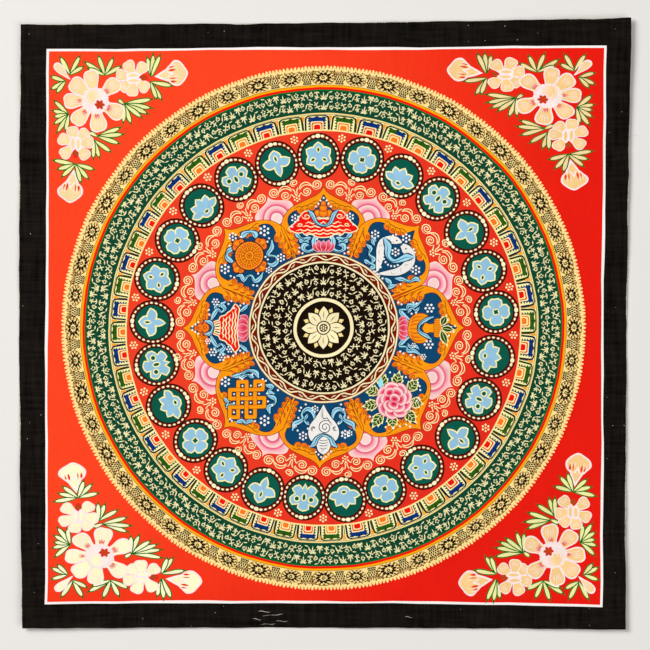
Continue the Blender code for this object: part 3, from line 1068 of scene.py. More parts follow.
            pen.line(coil(1.9, 0.45, 2.4, 7, 0.9) + gill, 0.4, Pigment.SHELL_GREY, 0.2)
            pen.dots([eye], 0.62, Pigment.NAVY)
        sash = [(-10.2, 10.8), (-7, 5), (-7.2, -1.6), (-3.8, -5.4), (1.6, -4.4), (6, -2.6), (11.2, -2.4)]
        self.ribbons(pen, (3.4, sash))
        self.seeds(
            pen,
            [(-16, 13.2, 2), (5.6, 10.8, 2.1), (-2, 0.9, 1.9), (12.4, -11.4, 2.1)],
            [(-10.4, -1.6), (-10, -4), (-8.8, -6.2), (-7, -8), (-4.8, -8.9), (-2.4, -9), (-0.2, -8.2)]
            + [(10.6, 3), (11.6, 0.8), (-3.6, 12.4), (-1.6, 13), (-17, -12.4), (-10.6, -17.4), (1.8, -21.4)]
            + [(-14.8, -15.4), (-12, -9.6)],
        )

    def peony(self, pen: Pen) -> None:
        """The flower: a full pink bloom of overlapping bowls, with leaves all around."""
        sprays = ((-9.6, 9.6, -14, 11.4), (-2, 10.4, 14, 10.6), (6.6, 8, 40, 10), (8.2, 0.4, 96, 8.6))
        sprays += ((4.4, -5, 136, 11.4), (-4.2, -8, 176, 9.4), (-10.6, -7.4, 216, 11.4))
        sprays += ((-13.4, -1, 262, 10.4), (-13.6, 6, 298, 9.6))
        for x, y, turn, long in sprays:
            self.foliage(pen.at(x, y, turn), long, 7.2)
        pen.at(-11.6, 8.6, -8).fill(leaf(9.0, 3.4, 0.4, 6), Pigment.AQUA)
        back = ((-9.8, 6.4, 300), (-11, 0.8, 265), (-9, -4.8, 230), (-4, -7.2, 190), (2, -6, 150))
        back += ((5.4, -1.4, 110), (5.2, 4.2, 70), (1.4, 8.8, 30), (-4.8, 9.8, 345))
        front = ((-8, 2.6, 280), (-5.6, -2.8, 215), (0.6, -3, 160), (2.2, 2.6, 80), (-1.2, 6.8, 10))
        cups = ((-6.2, 7.2, 330), (-2.2, 3, 10), (-3, -2, 190))
        for bowls, size, sunk in ((back, 4.7, 0.1), (front, 4.3, 0.2), (cups, 3.3, 0.2)):
            for x, y, turn in bowls:
                bowl = pen.at(x, y, turn)
                outline = rosette(size, 3, 0.08, 5, 0.5) * (1.1, 0.92)
                bowl.edged(outline, 0.35, Pigment.PINK_DEEP, Pigment.PINK_PALE)
                bowl.fill(outline * 0.76 - (0, sunk * size), Pigment.PINK)
                bowl.fill(oval(size * 0.62, size * 0.44, 12, (0, -sunk * size)), Pigment.PINK_DEEP)
                bowl.fill(oval(size * 0.42, size * 0.28, 10, (0, -1.2 * sunk * size)), Pigment.ROSE)
        self.seeds(
            pen,
            [],
            [(13.6, 13.8), (14.8, 11.4), (15.2, 8.8), (14.2, 3.4), (13, 1.4), (-5.8, 20.8), (5.2, 17.6)]
            + [(1.4, -16.4), (-8.6, -17.2), (-17.6, -12), (-19.4, -9.8), (-18, 11.4), (5.8, -15.2)]
            + [(8.4, -16.4), (-3.2, -17.8)],
        )

    def knot(self, pen: Pen) -> None:
        """The endless knot: one closed orange cord woven over and under itself nine times."""
        self.ribbons(
            pen,
            (2.4, [(-12, 18.2), (-6.4, 19.2), (-1, 22.2), (4.6, 21.2), (6.4, 17)]),
            (1.9, [(-6.6, 16.8), (-0.8, 19.2), (3.2, 17.2)]),
            (2.3, [(11.4, 12), (16.6, 10.8), (13.6, 7.6), (17.6, 5.6)]),
            (2.2, [(12.8, 4.6), (18, 2.8), (18, -0.8), (13.8, -3.2), (14.6, -8)]),
            (2.2, [(-17.2, 3.2), (-14.6, 0.6), (-15.6, -2.6), (-9.4, -0.6)]),
            (2.3, [(-9, -13.8), (-4.8, -12.4), (-2.6, -14.6), (0.4, -12.6), (2.8, -13.4)]),
        )
        x1, x2, x3, x4, y1, y2, y3 = -6.2, -0.4, 5.4, 10.8, 6.6, 0.6, -5.4
        top, foot, left, right, thick = 12.2, -12.4, -12.0, 12.0, 2.6
        cord = [(x3, top), (x4, top), (x4, y1), (left, y1), (left, y2), (right, y2), (right, y3), (left, y3)]
        cord += [(left, foot), (x1, foot), (x1, top), (x2, top), (x2, foot), (x3, foot), (x3, top)]
        knot = pen.at(-1.2, 2.4)
        for grow, paint in ((1.1, Pigment.NAVY), (0.45, Pigment.SIENNA), (-0.1, Pigment.SAFFRON)):
            for a, b in zip(cord[:-1], cord[1:], strict=True):
                knot.fill(circle((thick + grow) / 2, 12, a), paint)
                knot.line([a, b], thick + grow, paint, 0)
        for i, x in enumerate((x1, x2, x3)):
            for j, y in enumerate((y1, y2, y3)):
                over = np.array((0, 2.5)) if (i + j) % 2 else np.array((2.5, 0))
                here = np.array((x, y))
                for grow, paint in ((0.5, Pigment.SIENNA), (-0.1, Pigment.SAFFRON)):
                    knot.line([here - over, here + over], thick + grow, paint, 0)
        shine = (0.7, 0.7)
        for a, b in zip(cord[:-1:2], cord[1::2], strict=True):
            knot.line([np.add(a, shine), np.add(b, shine)], 0.36, Pigment.SAFFRON_DEEP, 0.1)
        eyes = [(x, y) for x in (-9.1, -3.3, 2.5, 8.3) for y in (9.4, 3.6, -2.4, -9.0)]
        knot.dots(eyes[1:-1], 0.7, Pigment.LIME_WHITE)
        self.seeds(
            pen,
            [(-16.4, 14.6, 2.3), (11, -12.6, 2.5)],
            [(-6, 17.4), (-4.6, 16.6), (2.4, 19.6), (9.4, 16.2), (11.6, 15), (12.6, 6.2), (-13, -11.4)]
            + [(-11.8, -12.6), (4.2, -13), (13.4, 0.6), (16.4, -2), (20, 8.4), (8.4, 12.4)],
        )

    def wheel_sign(self, pen: Pen) -> None:
        """The wheel: rings and spokes of brown line on orange, with a knob at each corner."""
        under = [(15.4, 9), (15.8, 4), (12.8, -1), (17.6, -2.4), (19.6, -5.4), (16.6, -8.2), (12.4, -6.8)]
        along = [(-8.6, -15.4), (-5.2, -15.2), (-3.4, -18.8), (-0.6, -15.6), (2.2, -15.8), (4.6, -19.2)]
        self.ribbons(
            pen,
            (2.9, [(-5.4, 10.6), (-3, 13.8), (1, 15), (4, 13.6), (4.6, 10.4)]),
            (2.6, [(-10.4, 4), (-14.4, 1.4), (-15.2, -2.4), (-10.6, -6.4)]),
            (2.2, under),
            (2.1, [*along, (8, -17.2), (9.8, -13.4)]),
        )
        disc = pen.at(0.2, -1.5)
        for x, y in ((-7.7, 7.6), (8.0, 8.2), (-7.4, -8.1), (8.0, -7.7)):
            knob = disc.at(x, y, math.degrees(math.atan2(x, y)))
            for grow, paint in ((0.9, Pigment.NAVY), (0.4, Pigment.SIENNA), (0.0, Pigment.SAFFRON_DEEP)):
                for dx, dy, r in ((-2.5, 0, 2.1), (2.5, 0, 2.1), (0, 1.4, 2.4)):
                    knob.fill(circle(r + grow, 12, (dx, dy)), paint)
            for dx in (-2.0, 2.0):
                knob.line(coil(1.1, 1.2, dx, 9) + (dx, 0.4), 0.42, Pigment.SIENNA, 0.2)
            knob.fill(circle(1.1, 8, (0, 1.4)), Pigment.SAFFRON)
        disc.fill(circle(10.4, 36), Pigment.NAVY)
        bands = (Pigment.SIENNA, Pigment.SAFFRON, Pigment.RED_GAP, Pigment.SAFFRON_DEEP)
        disc.discs(36, *zip((9.9, 9.5, 8.6, 8.2, 6.9, 6.5, 5.7, 5.3), bands * 2, strict=True))
        disc.rays(26, 8.6, 9.4, 0.34, Pigment.RED_GAP)
        for k in range(12):
            a = (k + 0.5) * FULL_TURN / 12
            disc.line(turned([(0, 3.0), (0, 8.2)], a), 0.85, Pigment.SAFFRON, 0)
            for x in (-0.6, 0.6):
                disc.line(turned([(x, 3.4), (x, 8.0)], a), 0.36, Pigment.SIENNA, 0)
        hub = (Pigment.SIENNA, Pigment.SAFFRON, Pigment.SIENNA, Pigment.SAFFRON_DEEP, Pigment.SIENNA)
        disc.discs(16, *zip((3.5, 3.1, 2.0, 1.6, 0.7), hub, strict=True))
        self.seeds(
            pen,
            [(-11.2, 11.8, 1.9), (10.6, 15.6, 2.5), (-16.4, -10.6, 2.3), (22, -3, 1.9), (14, -11.6, 1.4)],
            [(-13.4, 5.4), (-5.6, 11.6), (13.8, 10.4), (12.6, 8), (-12.4, -15.4), (-10, -16.4), (3.2, -22)]
            + [(5.8, -22.4), (11.4, -2.4), (13, -4.2), (6.6, -14)],
        )


@dataclass
class HeartDisc:
    """The black middle of the wheel: braided rim, three rows of gold vine and a cream lotus."""

    rim: float = 51.9
    dark: float = 44.6
    rows: tuple[tuple[float, int], ...] = ((40.7, 47), (32.9, 38), (25.2, 30))
    ring_outer: float = 20.8
    ring_inner: float = 18.5
    braid: float = 48.5
    twists: int = 40

    def paint(self, wheel: Wheel) -> None:
        """Paint the rim, the rows and the middle."""
        middle, rim_sides = wheel.pen(), 180
        middle.discs(
            rim_sides,
            (self.rim + 0.3, Pigment.SIENNA),
            (self.rim, Pigment.GOLD_PALE),
            (self.rim - 1.1, Pigment.OXBLOOD),
            (self.dark + 1.6, Pigment.OXBLOOD_DARK),
            (self.dark + 1.3, Pigment.GOLD_PALE),
            (self.dark + 0.1, Pigment.HEART_BLACK),
        )
        for i in range(self.twists):
            pen = wheel.band(self.braid, i * 360 / self.twists)
            side = 1 if i % 2 else -1
            strand = [(-4.2, -1.2 * side), (-1.9, 0), (0.4, 1.3 * side), (4.1, 1.2 * side)]
            pen.sweep(strand, 0.95, Pigment.GOLD_PALE, 0.1, 3)
            pen.sweep([(-1.2, -1.3 * side), (0.6, -0.9 * side), (2.4, 0.1)], 0.6, Pigment.GOLD_PALE, 0.3, 2)
        for radius, units in self.rows:
            SprigRow(radius, units, 6.0, Pigment.GOLD_PALE, 0.76).paint(wheel)
        middle.discs(72, (self.ring_outer, Pigment.GOLD_PALE), (self.ring_inner, Pigment.HEART_BLACK))
        self.bloom(middle)

    def bloom(self, pen: Pen) -> None:
        """An open lotus of eight petals around a seed head, in cream on black."""
        for k in range(8):
            a = (k + 0.5) * FULL_TURN / 8
            pen.fill(turned(leaf(15.0, 5.2, 0, 8, 1.35), a), Pigment.GOLD)
        for k in range(8):
            a = k * FULL_TURN / 8
            pen.fill(turned(leaf(15.8, 8.6, 0, 8, 1.3), a), Pigment.HEART_BLACK)
            pen.fill(turned(leaf(14.9, 7.0, 0, 8, 1.3), a), Pigment.GOLD_PALE)
            pen.line(turned([(0, 6.4), (0, 11.6)], a), 0.5, Pigment.HEART_BLACK, 0.3)
        pen.discs(24, (4.9, Pigment.HEART_BLACK), (4.1, Pigment.GOLD_PALE), (2.9, Pigment.HEART_BLACK))
        pen.blossom(0, 0, 1.65, 0.62, Pigment.GOLD_PALE)


class Spray(NamedTuple):
    """A tuft of leaves: where it springs from, and the tips of its blades."""

    base: tuple[float, float]
    tips: tuple[tuple[float, float], ...]


@dataclass
class CornerSpray:
    """The flowers of one corner: X runs along one frame line and Y along the other, both inwards."""

    flesh: Pigment = Pigment.PEACH
    shade: Pigment = Pigment.PEACH_WARM
    leaf: Pigment = Pigment.LEAF_PALE
    tufts: tuple[Spray, ...] = (
        Spray((14.7, 15.9), ((7.2, 2.8), (21.6, 2.4), (24.4, 10.2))),
        Spray((38.7, 16.3), ((23.6, 6.6), (26.0, 11.4), (33.6, 1.8), (44.6, 3.4), (50.6, 9.8))),
        Spray((70.9, 17.6), ((67.6, 3.0), (72.2, 0.9), (77.2, 1.6))),
        Spray((70.5, 21.1), ((86.4, 23.8), (78.4, 34.2), (74.6, 33.8))),
        Spray((51.6, 36.2), ((47.4, 33.0), (72.6, 32.8), (72.2, 39.4), (69.4, 43.6))),
        Spray((51.6, 36.2), ((64.8, 46.4), (57.0, 50.8), (51.4, 50.2))),
        Spray((33.7, 58.8), ((50.6, 52.0), (52.8, 56.8), (50.0, 63.8), (27.6, 55.8))),
        Spray((31.0, 61.1), ((43.8, 69.8), (35.2, 74.4), (30.6, 75.0))),
        Spray((13.5, 43.6), ((2.9, 33.2), (1.4, 40.4), (2.5, 45.0), (2.5, 50.5), (4.8, 57.0), (11.2, 55.6))),
        Spray((11.6, 20.5), ((0.8, 17.0), (0.8, 26.2), (4.8, 28.9))),
        Spray((18.1, 78.1), ((1.7, 75.0), (4.8, 81.8), (8.0, 87.3))),
        Spray((18.1, 78.1), ((31.8, 81.8), (27.7, 89.1), (22.2, 91.6))),
    )

    def paint(self, pen: Pen) -> None:
        """Paint leaves first, then buds and trumpets, small flowers and the great one."""
        self.trumpet(pen.at(73.0, 17.4, 99))
        self.trumpet(pen.at(17.0, 81.4, -8, 1.0, True))
        for tuft in self.tufts:
            for tip in tuft.tips:
                self.blade(pen, tuft.base, tip)
        self.bud(pen.at(15.0, 19.4, -135))
        self.small(pen.at(59.0, 18.4))
        self.small(pen.at(18.3, 64.4, 90, 1.0, True))
        self.great(pen.at(31.8, 34.2))

    def blade(self, pen: Pen, base: Sequence, tip: Sequence) -> None:
        """One plump leaf: dark green edge that ends in a hooked tip, pale yellow-green blade."""
        run = np.subtract(tip, base)
        long, turn = float(np.hypot(*run)), math.degrees(math.atan2(run[0], run[1]))
        bend = 0.1 * long * math.sin(0.7 * base[0] + tip[1])
        one = pen.at(base[0], base[1], turn)
        wide = 2.2 + 0.05 * min(long, 16)
        hook = [(0.2 * bend, 0.6 * long), (0.2 * bend, 0.86 * long), (-0.2 * bend, 1.04 * long)]
        one.sweep(hook, 1.4, Pigment.LEAF_DARK, 0.6)
        half = curve([(0, 0), (0.26, 0.18), (0.48, 0.48), (0.46, 0.7), (0.22, 0.85), (0, 0.88)], 2)
        body = mirrored(half * (wide, long))
        one.fill(grown(body, 0.52), Pigment.LEAF_DARK)
        one.fill(shrunk(body, (0.84, 0.96), (0, 0.46 * long)), self.leaf)

    def petal(self, pen: Pen, streaks: int = 0, inner: float = 7.0, outer: float = 21.8) -> None:
        """One petal from near the middle outwards: narrow foot, broad wavy tip, white edge, streaks."""
        long = outer - inner
        knots = [(2.5, 0), (4.1, 0.28), (5.5, 0.54), (5.5, 0.78), (3.7, 0.94), (0.6, 0.98), (-2.4, 1)]
        knots += [(-5, 0.86), (-5.6, 0.6), (-4, 0.28), (-2.4, 0)]
        outline = curve([(x, inner + y * long) for x, y in knots], 2, True)
        middle = (0, inner + 0.54 * long)
        pen.fill(outline, Pigment.PEACH_EDGE)
        pen.fill(shrunk(outline, (0.83, 0.87), middle), self.shade)
        pen.fill(shrunk(outline, (0.76, 0.8), middle), self.flesh)
        for k in range(streaks):
            x = k - (streaks - 1) / 2
            foot, tip = (0.55 * x, inner + 0.1 * long), (1.05 * x, inner + (0.42 - 0.03 * abs(x)) * long)
            pen.line([foot, tip], 0.7, Pigment.SCARLET_LIGHT, 0.4)
            pen.line(np.array([foot, tip]) + (0.55, 0.4), 0.5, Pigment.PEACH_EDGE, 0.4)
        for x in (-2.6, -0.6, 1.3, 2.9):
            vein = [(0.6 * x, inner + 0.45 * long), (x, inner + (0.86 - 0.02 * abs(x)) * long)]
            pen.line(vein, 0.5, Pigment.PEACH_EDGE, 0.3)

    def small(self, pen: Pen) -> None:
        """A six-petalled flower seen a little from the side, with stamens at its open side."""
        for turn in (-157, 141, -103, -50, -9, 48):
            self.petal(pen.at(0, 0, turn, (0.76, 1.0)), 0, 3.4, 13.0)
        pen.fill(oval(2.9, 2.2, 9, (6.6, 0)), Pigment.SCARLET)
        for y in (-1.5, -0.5, 0.6, 1.5):
            pen.line([(4.6, 0.6 * y), (8.2, y)], 0.42, Pigment.LEAF_DARK, 0.3)
        for x, y, across, along in ((-0.6, -1.7, 5.4, 2.6), (-0.4, 1.8, 5.6, 2.5), (-1.6, 0, 4.0, 3.6)):
            pen.fill(rosette(1.0, 5, 0.14, 4) * (across, along) + (x, y), Pigment.PEACH_EDGE)
        for x, y, across, along in ((-0.8, -1.8, 3.6, 1.2), (-0.2, 1.9, 3.8, 1.1)):
            pen.fill(oval(across, along, 9, (x, y)), self.flesh)

    def great(self, pen: Pen) -> None:
        """The great flower: seven separate streaked petals around a turned cup with a dark eye."""
        petals = ((8, 1.06, 4), (63, 1.04, 5), (189, 0.94, 0), (131, 1.0, 5), (229, 1.04, 0), (270, 0.98, 3))
        for turn, wide, streaks in (*petals, (317, 1.0, 4)):
            self.petal(pen.at(0, 0, turn, (wide, 1.0)), streaks)
        pen.fill(rosette(9.6, 15, 0.07, 3), Pigment.PEACH_EDGE)
        pen.rays(22, 7.7, 8.9, 0.34, self.shade)
        cup = pen.wash(self.flesh, Pigment.PEACH_EDGE, (-3.2, -2.6), 3.0, 9.0)
        pen.fill(circle(7.2, 18, (-0.7, -0.5)), cup)
        for r, start, wide in ((6.3, -2.6, 1.5), (4.4, -2.2, 1.0), (2.6, -2.0, 0.7)):
            pen.line(coil(r, 0.5, start, 14, 0.9) + (-0.8, -0.6), wide, Pigment.PEACH_EDGE, 0.3)
        pen.fill(rosette(4.6, 6, 0.3, 3) + (2.9, 2.4), Pigment.PEACH_EDGE)
        pen.fill(rosette(3.7, 6, 0.38, 3) + (3.1, 2.6), Pigment.SCARLET)
        for a in (0.4, 1.5, 2.6, 4.0, 5.2):
            stamen = turned(np.array([(0, 0.4), (0, 2.6)]), a) + (3.1, 2.6)
            pen.line(stamen, 0.5, Pigment.LEAF_DARK, 0.2)
            pen.dots([stamen[-1]], 0.42, Pigment.LEAF_DARK, 5)

    def bud(self, pen: Pen) -> None:
        """A closed bud on its stalk."""
        right = [(0, 0), (1.4, 4.4), (2.9, 9.4), (2.5, 14)]
        left = [(-0.4, 15.6), (-2.8, 13.6), (-2.9, 9), (-1.2, 4.4)]
        outline = curve(right + left, 3, True)
        pen.fill(outline, Pigment.PEACH_EDGE)
        pen.fill(shrunk(outline, 0.74, (0, 10.4)), self.flesh)
        for x in (-0.9, 0.7):
            pen.line([(0.6 * x, 5.6), (x, 13.0)], 0.36, Pigment.PEACH_EDGE, 0.3)

    def trumpet(self, pen: Pen) -> None:
        """A trumpet blossom seen from the side: a jagged calyx that opens into a frilled bell."""
        right = [(3.4, 8.6), (6.6, 11.6), (9.2, 15.2), (7.8, 19), (3.6, 21.6)]
        left = [(-0.6, 23.4), (-4.6, 21.4), (-8.4, 16.6), (-7.6, 12), (-4, 9.2)]
        outline = curve(right + left, 3, True)
        middle = (0.2, 15.4)
        pen.fill(outline, Pigment.PEACH_EDGE)
        pen.fill(shrunk(outline, 0.86, middle), self.shade)
        pen.fill(shrunk(outline, 0.8, middle), self.flesh)
        for x, y, wide in ((-5.4, 13.4, 1.3), (-3.1, 13.9, 0.7), (3.0, 13.8, 1.4), (5.2, 13.2, 0.8)):
            pen.line([(0.9 * x, y - 3.6), (x, y + 1.4)], 1.3 * wide, Pigment.SCARLET_LIGHT, 0.5)
            pen.line([(0.9 * x + 0.8, y - 1.2), (x + 1.1, y + 3.2)], 0.5, Pigment.PEACH_EDGE, 0.4)
        teeth = [(5.4, 11.4), (2.4, 9.6), (0.4, 14.2), (-1.8, 9.6), (-5.6, 11.2)]
        calyx = np.array([(0, 0), (2.4, 5), *teeth, (-2.8, 4.8)])
        pen.fill(calyx, Pigment.PEACH_EDGE)
        pen.fill(calyx * 0.66 + (0, 2.6), self.flesh)


@dataclass
class Wear:
    """Age of the black border: pale specks, scratches along its foot and a worn cut edge."""

    specks: int = 300
    scratches: tuple[tuple[float, float, float, float], ...] = (
        (-42.0, -199.4, 9.0, 4), (-36.0, -201.8, 14.0, -6), (-47.0, -204.6, 6.0, 12),
        (-30.0, -206.0, 8.0, 2), (-39.5, -208.2, 11.0, -3), (58.0, -203.0, 5.0, 8),
    )
    seed: int = 29

    def paint(self, picture: Picture, rim: Points) -> None:
        """Scatter specks over the border, then scratches, then the worn places along the cut."""
        rng = np.random.default_rng(self.seed)
        pen = Pen(picture, lambda p: p)
        along = rng.uniform(0, len(rim), self.specks)
        inwards = rng.uniform(0.8, 15.5, self.specks)
        size = 0.14 + 0.22 * rng.random(self.specks) ** 4
        for s, deep, r in zip(along, inwards, size, strict=True):
            place = rim[int(s)]
            sideways = np.abs(place) > np.abs(place).max() - 1e-6
            place = place - np.sign(place) * sideways * deep
            paint = Pigment.WORN_COTTON if r > 0.26 else Pigment.INK_SOFT
            pen.fill(oval(r, r * rng.uniform(0.5, 1.0), 5, place), paint)
        for x, y, long, turn in self.scratches:
            stroke = [(-long / 2, 0), (-long / 6, 0.3), (long / 5, -0.2), (long / 2, 0.1)]
            pen.at(x, y, turn).sweep(stroke, 0.3, Pigment.WORN_COTTON)
        self.worn(pen, rim, rng)

    def worn(self, pen: Pen, rim: Points, rng: np.random.Generator) -> None:
        """Broken strips of bare cotton along the left, top and right cut."""
        n = len(rim)
        start = 0
        while start < n - 12:
            run = int(rng.integers(3, 22))
            strip = rim[start : start + run + 1]
            if strip[:, 1].mean() > -205:
                pen.fill(brush(strip, rng.uniform(0.45, 1.1), 0.3), Pigment.WORN_COTTON)
            start += run + int(rng.integers(2, 30))


# ---------------------------------------------------------------- the cloth


class Lift(NamedTuple):
    """A low rise of the rim: its place and half length along a side, its depth and its height."""

    side: str
    at: float
    half_length: float
    depth: float
    rise: float


class Curl(NamedTuple):
    """The rise of one corner: which corner, how far it reaches in and its height at the tip."""

    right: int
    up: int
    reach: float
    rise: float


@dataclass
class Cloth:
    """The cut of the sheet and the way it lies, as packed. Sizes in metres, shares from -1 to 1."""

    top_width: float = 0.4221
    bottom_width: float = 0.4172
    left_height: float = 0.4177
    right_height: float = 0.4230
    bottom_inset: float = 0.0010
    right_drop: float = 0.0008
    left_bow: float = 0.0019
    right_bow: float = -0.0011
    top_bow: float = -0.0011
    bottom_bow: float = -0.0008
    thickness: float = 0.0010
    lifts: tuple[Lift, ...] = (
        Lift("top", -0.46, 0.34, 0.30, 0.0011),
        Lift("top", 0.22, 0.40, 0.26, 0.0008),
        Lift("right", 0.38, 0.36, 0.30, 0.0014),
        Lift("right", -0.34, 0.32, 0.24, 0.0009),
        Lift("bottom", 0.30, 0.42, 0.28, 0.0012),
        Lift("bottom", -0.44, 0.30, 0.22, 0.0007),
        Lift("left", 0.26, 0.38, 0.26, 0.0010),
        Lift("left", -0.50, 0.28, 0.24, 0.0008),
    )
    curls: tuple[Curl, ...] = (
        Curl(-1, 1, 0.30, 0.0022),
        Curl(1, 1, 0.34, 0.0034),
        Curl(1, -1, 0.30, 0.0026),
        Curl(-1, -1, 0.32, 0.0030),
    )

    def uncentred(self, across: np.ndarray, along: np.ndarray) -> Points:
        """Places of shares across and along: the corners blended, plus the bow of the edges."""
        low_left = np.array((self.bottom_inset, 0.0))
        low_right = low_left + (self.bottom_width, -self.right_drop)
        top_left = np.array((0.0, self.left_height))
        top_right = np.array((self.top_width, self.right_height - self.right_drop))
        u, v = (across[:, None] + 1) / 2, (along[:, None] + 1) / 2
        place = (1 - v) * ((1 - u) * low_left + u * low_right) + v * ((1 - u) * top_left + u * top_right)
        side = self.right_bow * (1 + across) - self.left_bow * (1 - across)
        end = self.top_bow * (1 + along) - self.bottom_bow * (1 - along)
        return place + np.column_stack(((1 - along**2) * side, (1 - across**2) * end)) / 2

    def centre(self) -> np.ndarray:
        """The middle of the sheet's box, before it is centred."""
        steps = np.linspace(-1, 1, 33)
        across, along = (grid.ravel() for grid in np.meshgrid(steps, steps))
        place = self.uncentred(across, along)
        return (place.min(axis=0) + place.max(axis=0)) / 2

    def rim(self, per_side: int = 150) -> Points:
        """The cut edge in millimetres, anticlockwise from the bottom left corner."""
        t = np.linspace(-1, 1, per_side, endpoint=False)
        low, high = np.full_like(t, -1.0), np.full_like(t, 1.0)
        across = np.concatenate((t, high, -t, low))
        along = np.concatenate((low, t, high, -t))
        return (self.uncentred(across, along) - self.centre()) / MM

    def shares(self, places: Points) -> tuple[np.ndarray, np.ndarray]:
        """Shares across and along of places in millimetres, by correcting a first guess six times."""
        goal = places * MM
        half = np.array((self.top_width, self.right_height)) / 2
        share, middle = goal / half, self.centre()
        for _ in range(6):
            share = share + (goal - (self.uncentred(*share.T) - middle)) / half
        return share[:, 0], share[:, 1]

    def rise(self, places: Points) -> np.ndarray:
        """Height of the underside in metres: each lift and curl eased in from the middle."""
        across, along = self.shares(places)
        towards = {"right": across, "left": -across, "top": along, "bottom": -along}
        beside = {"right": along, "left": along, "top": across, "bottom": across}
        height = np.zeros(len(places))
        for lift in self.lifts:
            inward = ease((towards[lift.side] - (1 - lift.depth)) / lift.depth)
            height += lift.rise * inward * ease(1 - np.abs(beside[lift.side] - lift.at) / lift.half_length)
        for curl in self.curls:
            diagonal = (across * curl.right + along * curl.up) / 2
            height += curl.rise * ease((diagonal - (1 - curl.reach)) / curl.reach)
        return height

    def normals(self, places: Points) -> np.ndarray:
        """Unit normals of the lie, from the slope of rise over half a millimetre to each side."""
        reach = 0.5
        slope = [
            (self.rise(places + step) - self.rise(places - step)) / (2 * reach * MM)
            for step in (np.array((reach, 0.0)), np.array((0.0, reach)))
        ]
        normal = np.column_stack((-slope[0], -slope[1], np.ones(len(places))))
        return normal / np.linalg.norm(normal, axis=1)[:, None]


def ease(share: np.ndarray) -> np.ndarray:
    """0 up to 0 and 1 from 1 on, with a level start and end: s s (3 - 2 s)."""
    held = np.clip(share, 0, 1)
    return held * held * (3 - 2 * held)


class Face(NamedTuple):
    """A flat face cut into triangles, in millimetres, and which outline lies on top of each."""

    places: Points
    triangles: np.ndarray
    tops: np.ndarray

    def sides(self) -> tuple[np.ndarray, np.ndarray]:
        """The sides of every triangle: the numbers of their first points and of their last."""
        return self.triangles.ravel(), np.roll(self.triangles, -1, axis=1).ravel()


@dataclass
class Loops:
    """Closed edges of a face: the points, and for each the number of the next one.

    An outer edge runs anticlockwise and the edge of a hole clockwise.
    """

    points: Points
    follows: np.ndarray

    @staticmethod
    def of(*outlines: Points) -> Loops:
        """The loops of whole outlines, each in its own order."""
        sizes = np.array([len(o) for o in outlines])
        first = np.repeat(np.cumsum(sizes) - sizes, sizes)
        number = np.arange(sizes.sum())
        return Loops(np.vstack(outlines), first + (number - first + 1) % np.repeat(sizes, sizes))

    @staticmethod
    def around(face: Face) -> Loops:
        """The open edges of a cut face: those that only one triangle has."""
        start, end = face.sides()
        size = len(face.places)
        alone = ~np.isin(start * size + end, end * size + start)
        start, end = start[alone], end[alone]
        numbers = np.unique(start)
        follows = np.empty(len(numbers), int)
        follows[np.searchsorted(numbers, start)] = np.searchsorted(numbers, end)
        return Loops(face.places[numbers], follows)

    def outwards(self) -> Points:
        """Unit directions away from the face, square to the edge at each point."""
        run = self.points[self.follows] - self.points[np.argsort(self.follows)]
        return np.column_stack((run[:, 1], -run[:, 0])) / np.hypot(*run.T)[:, None]


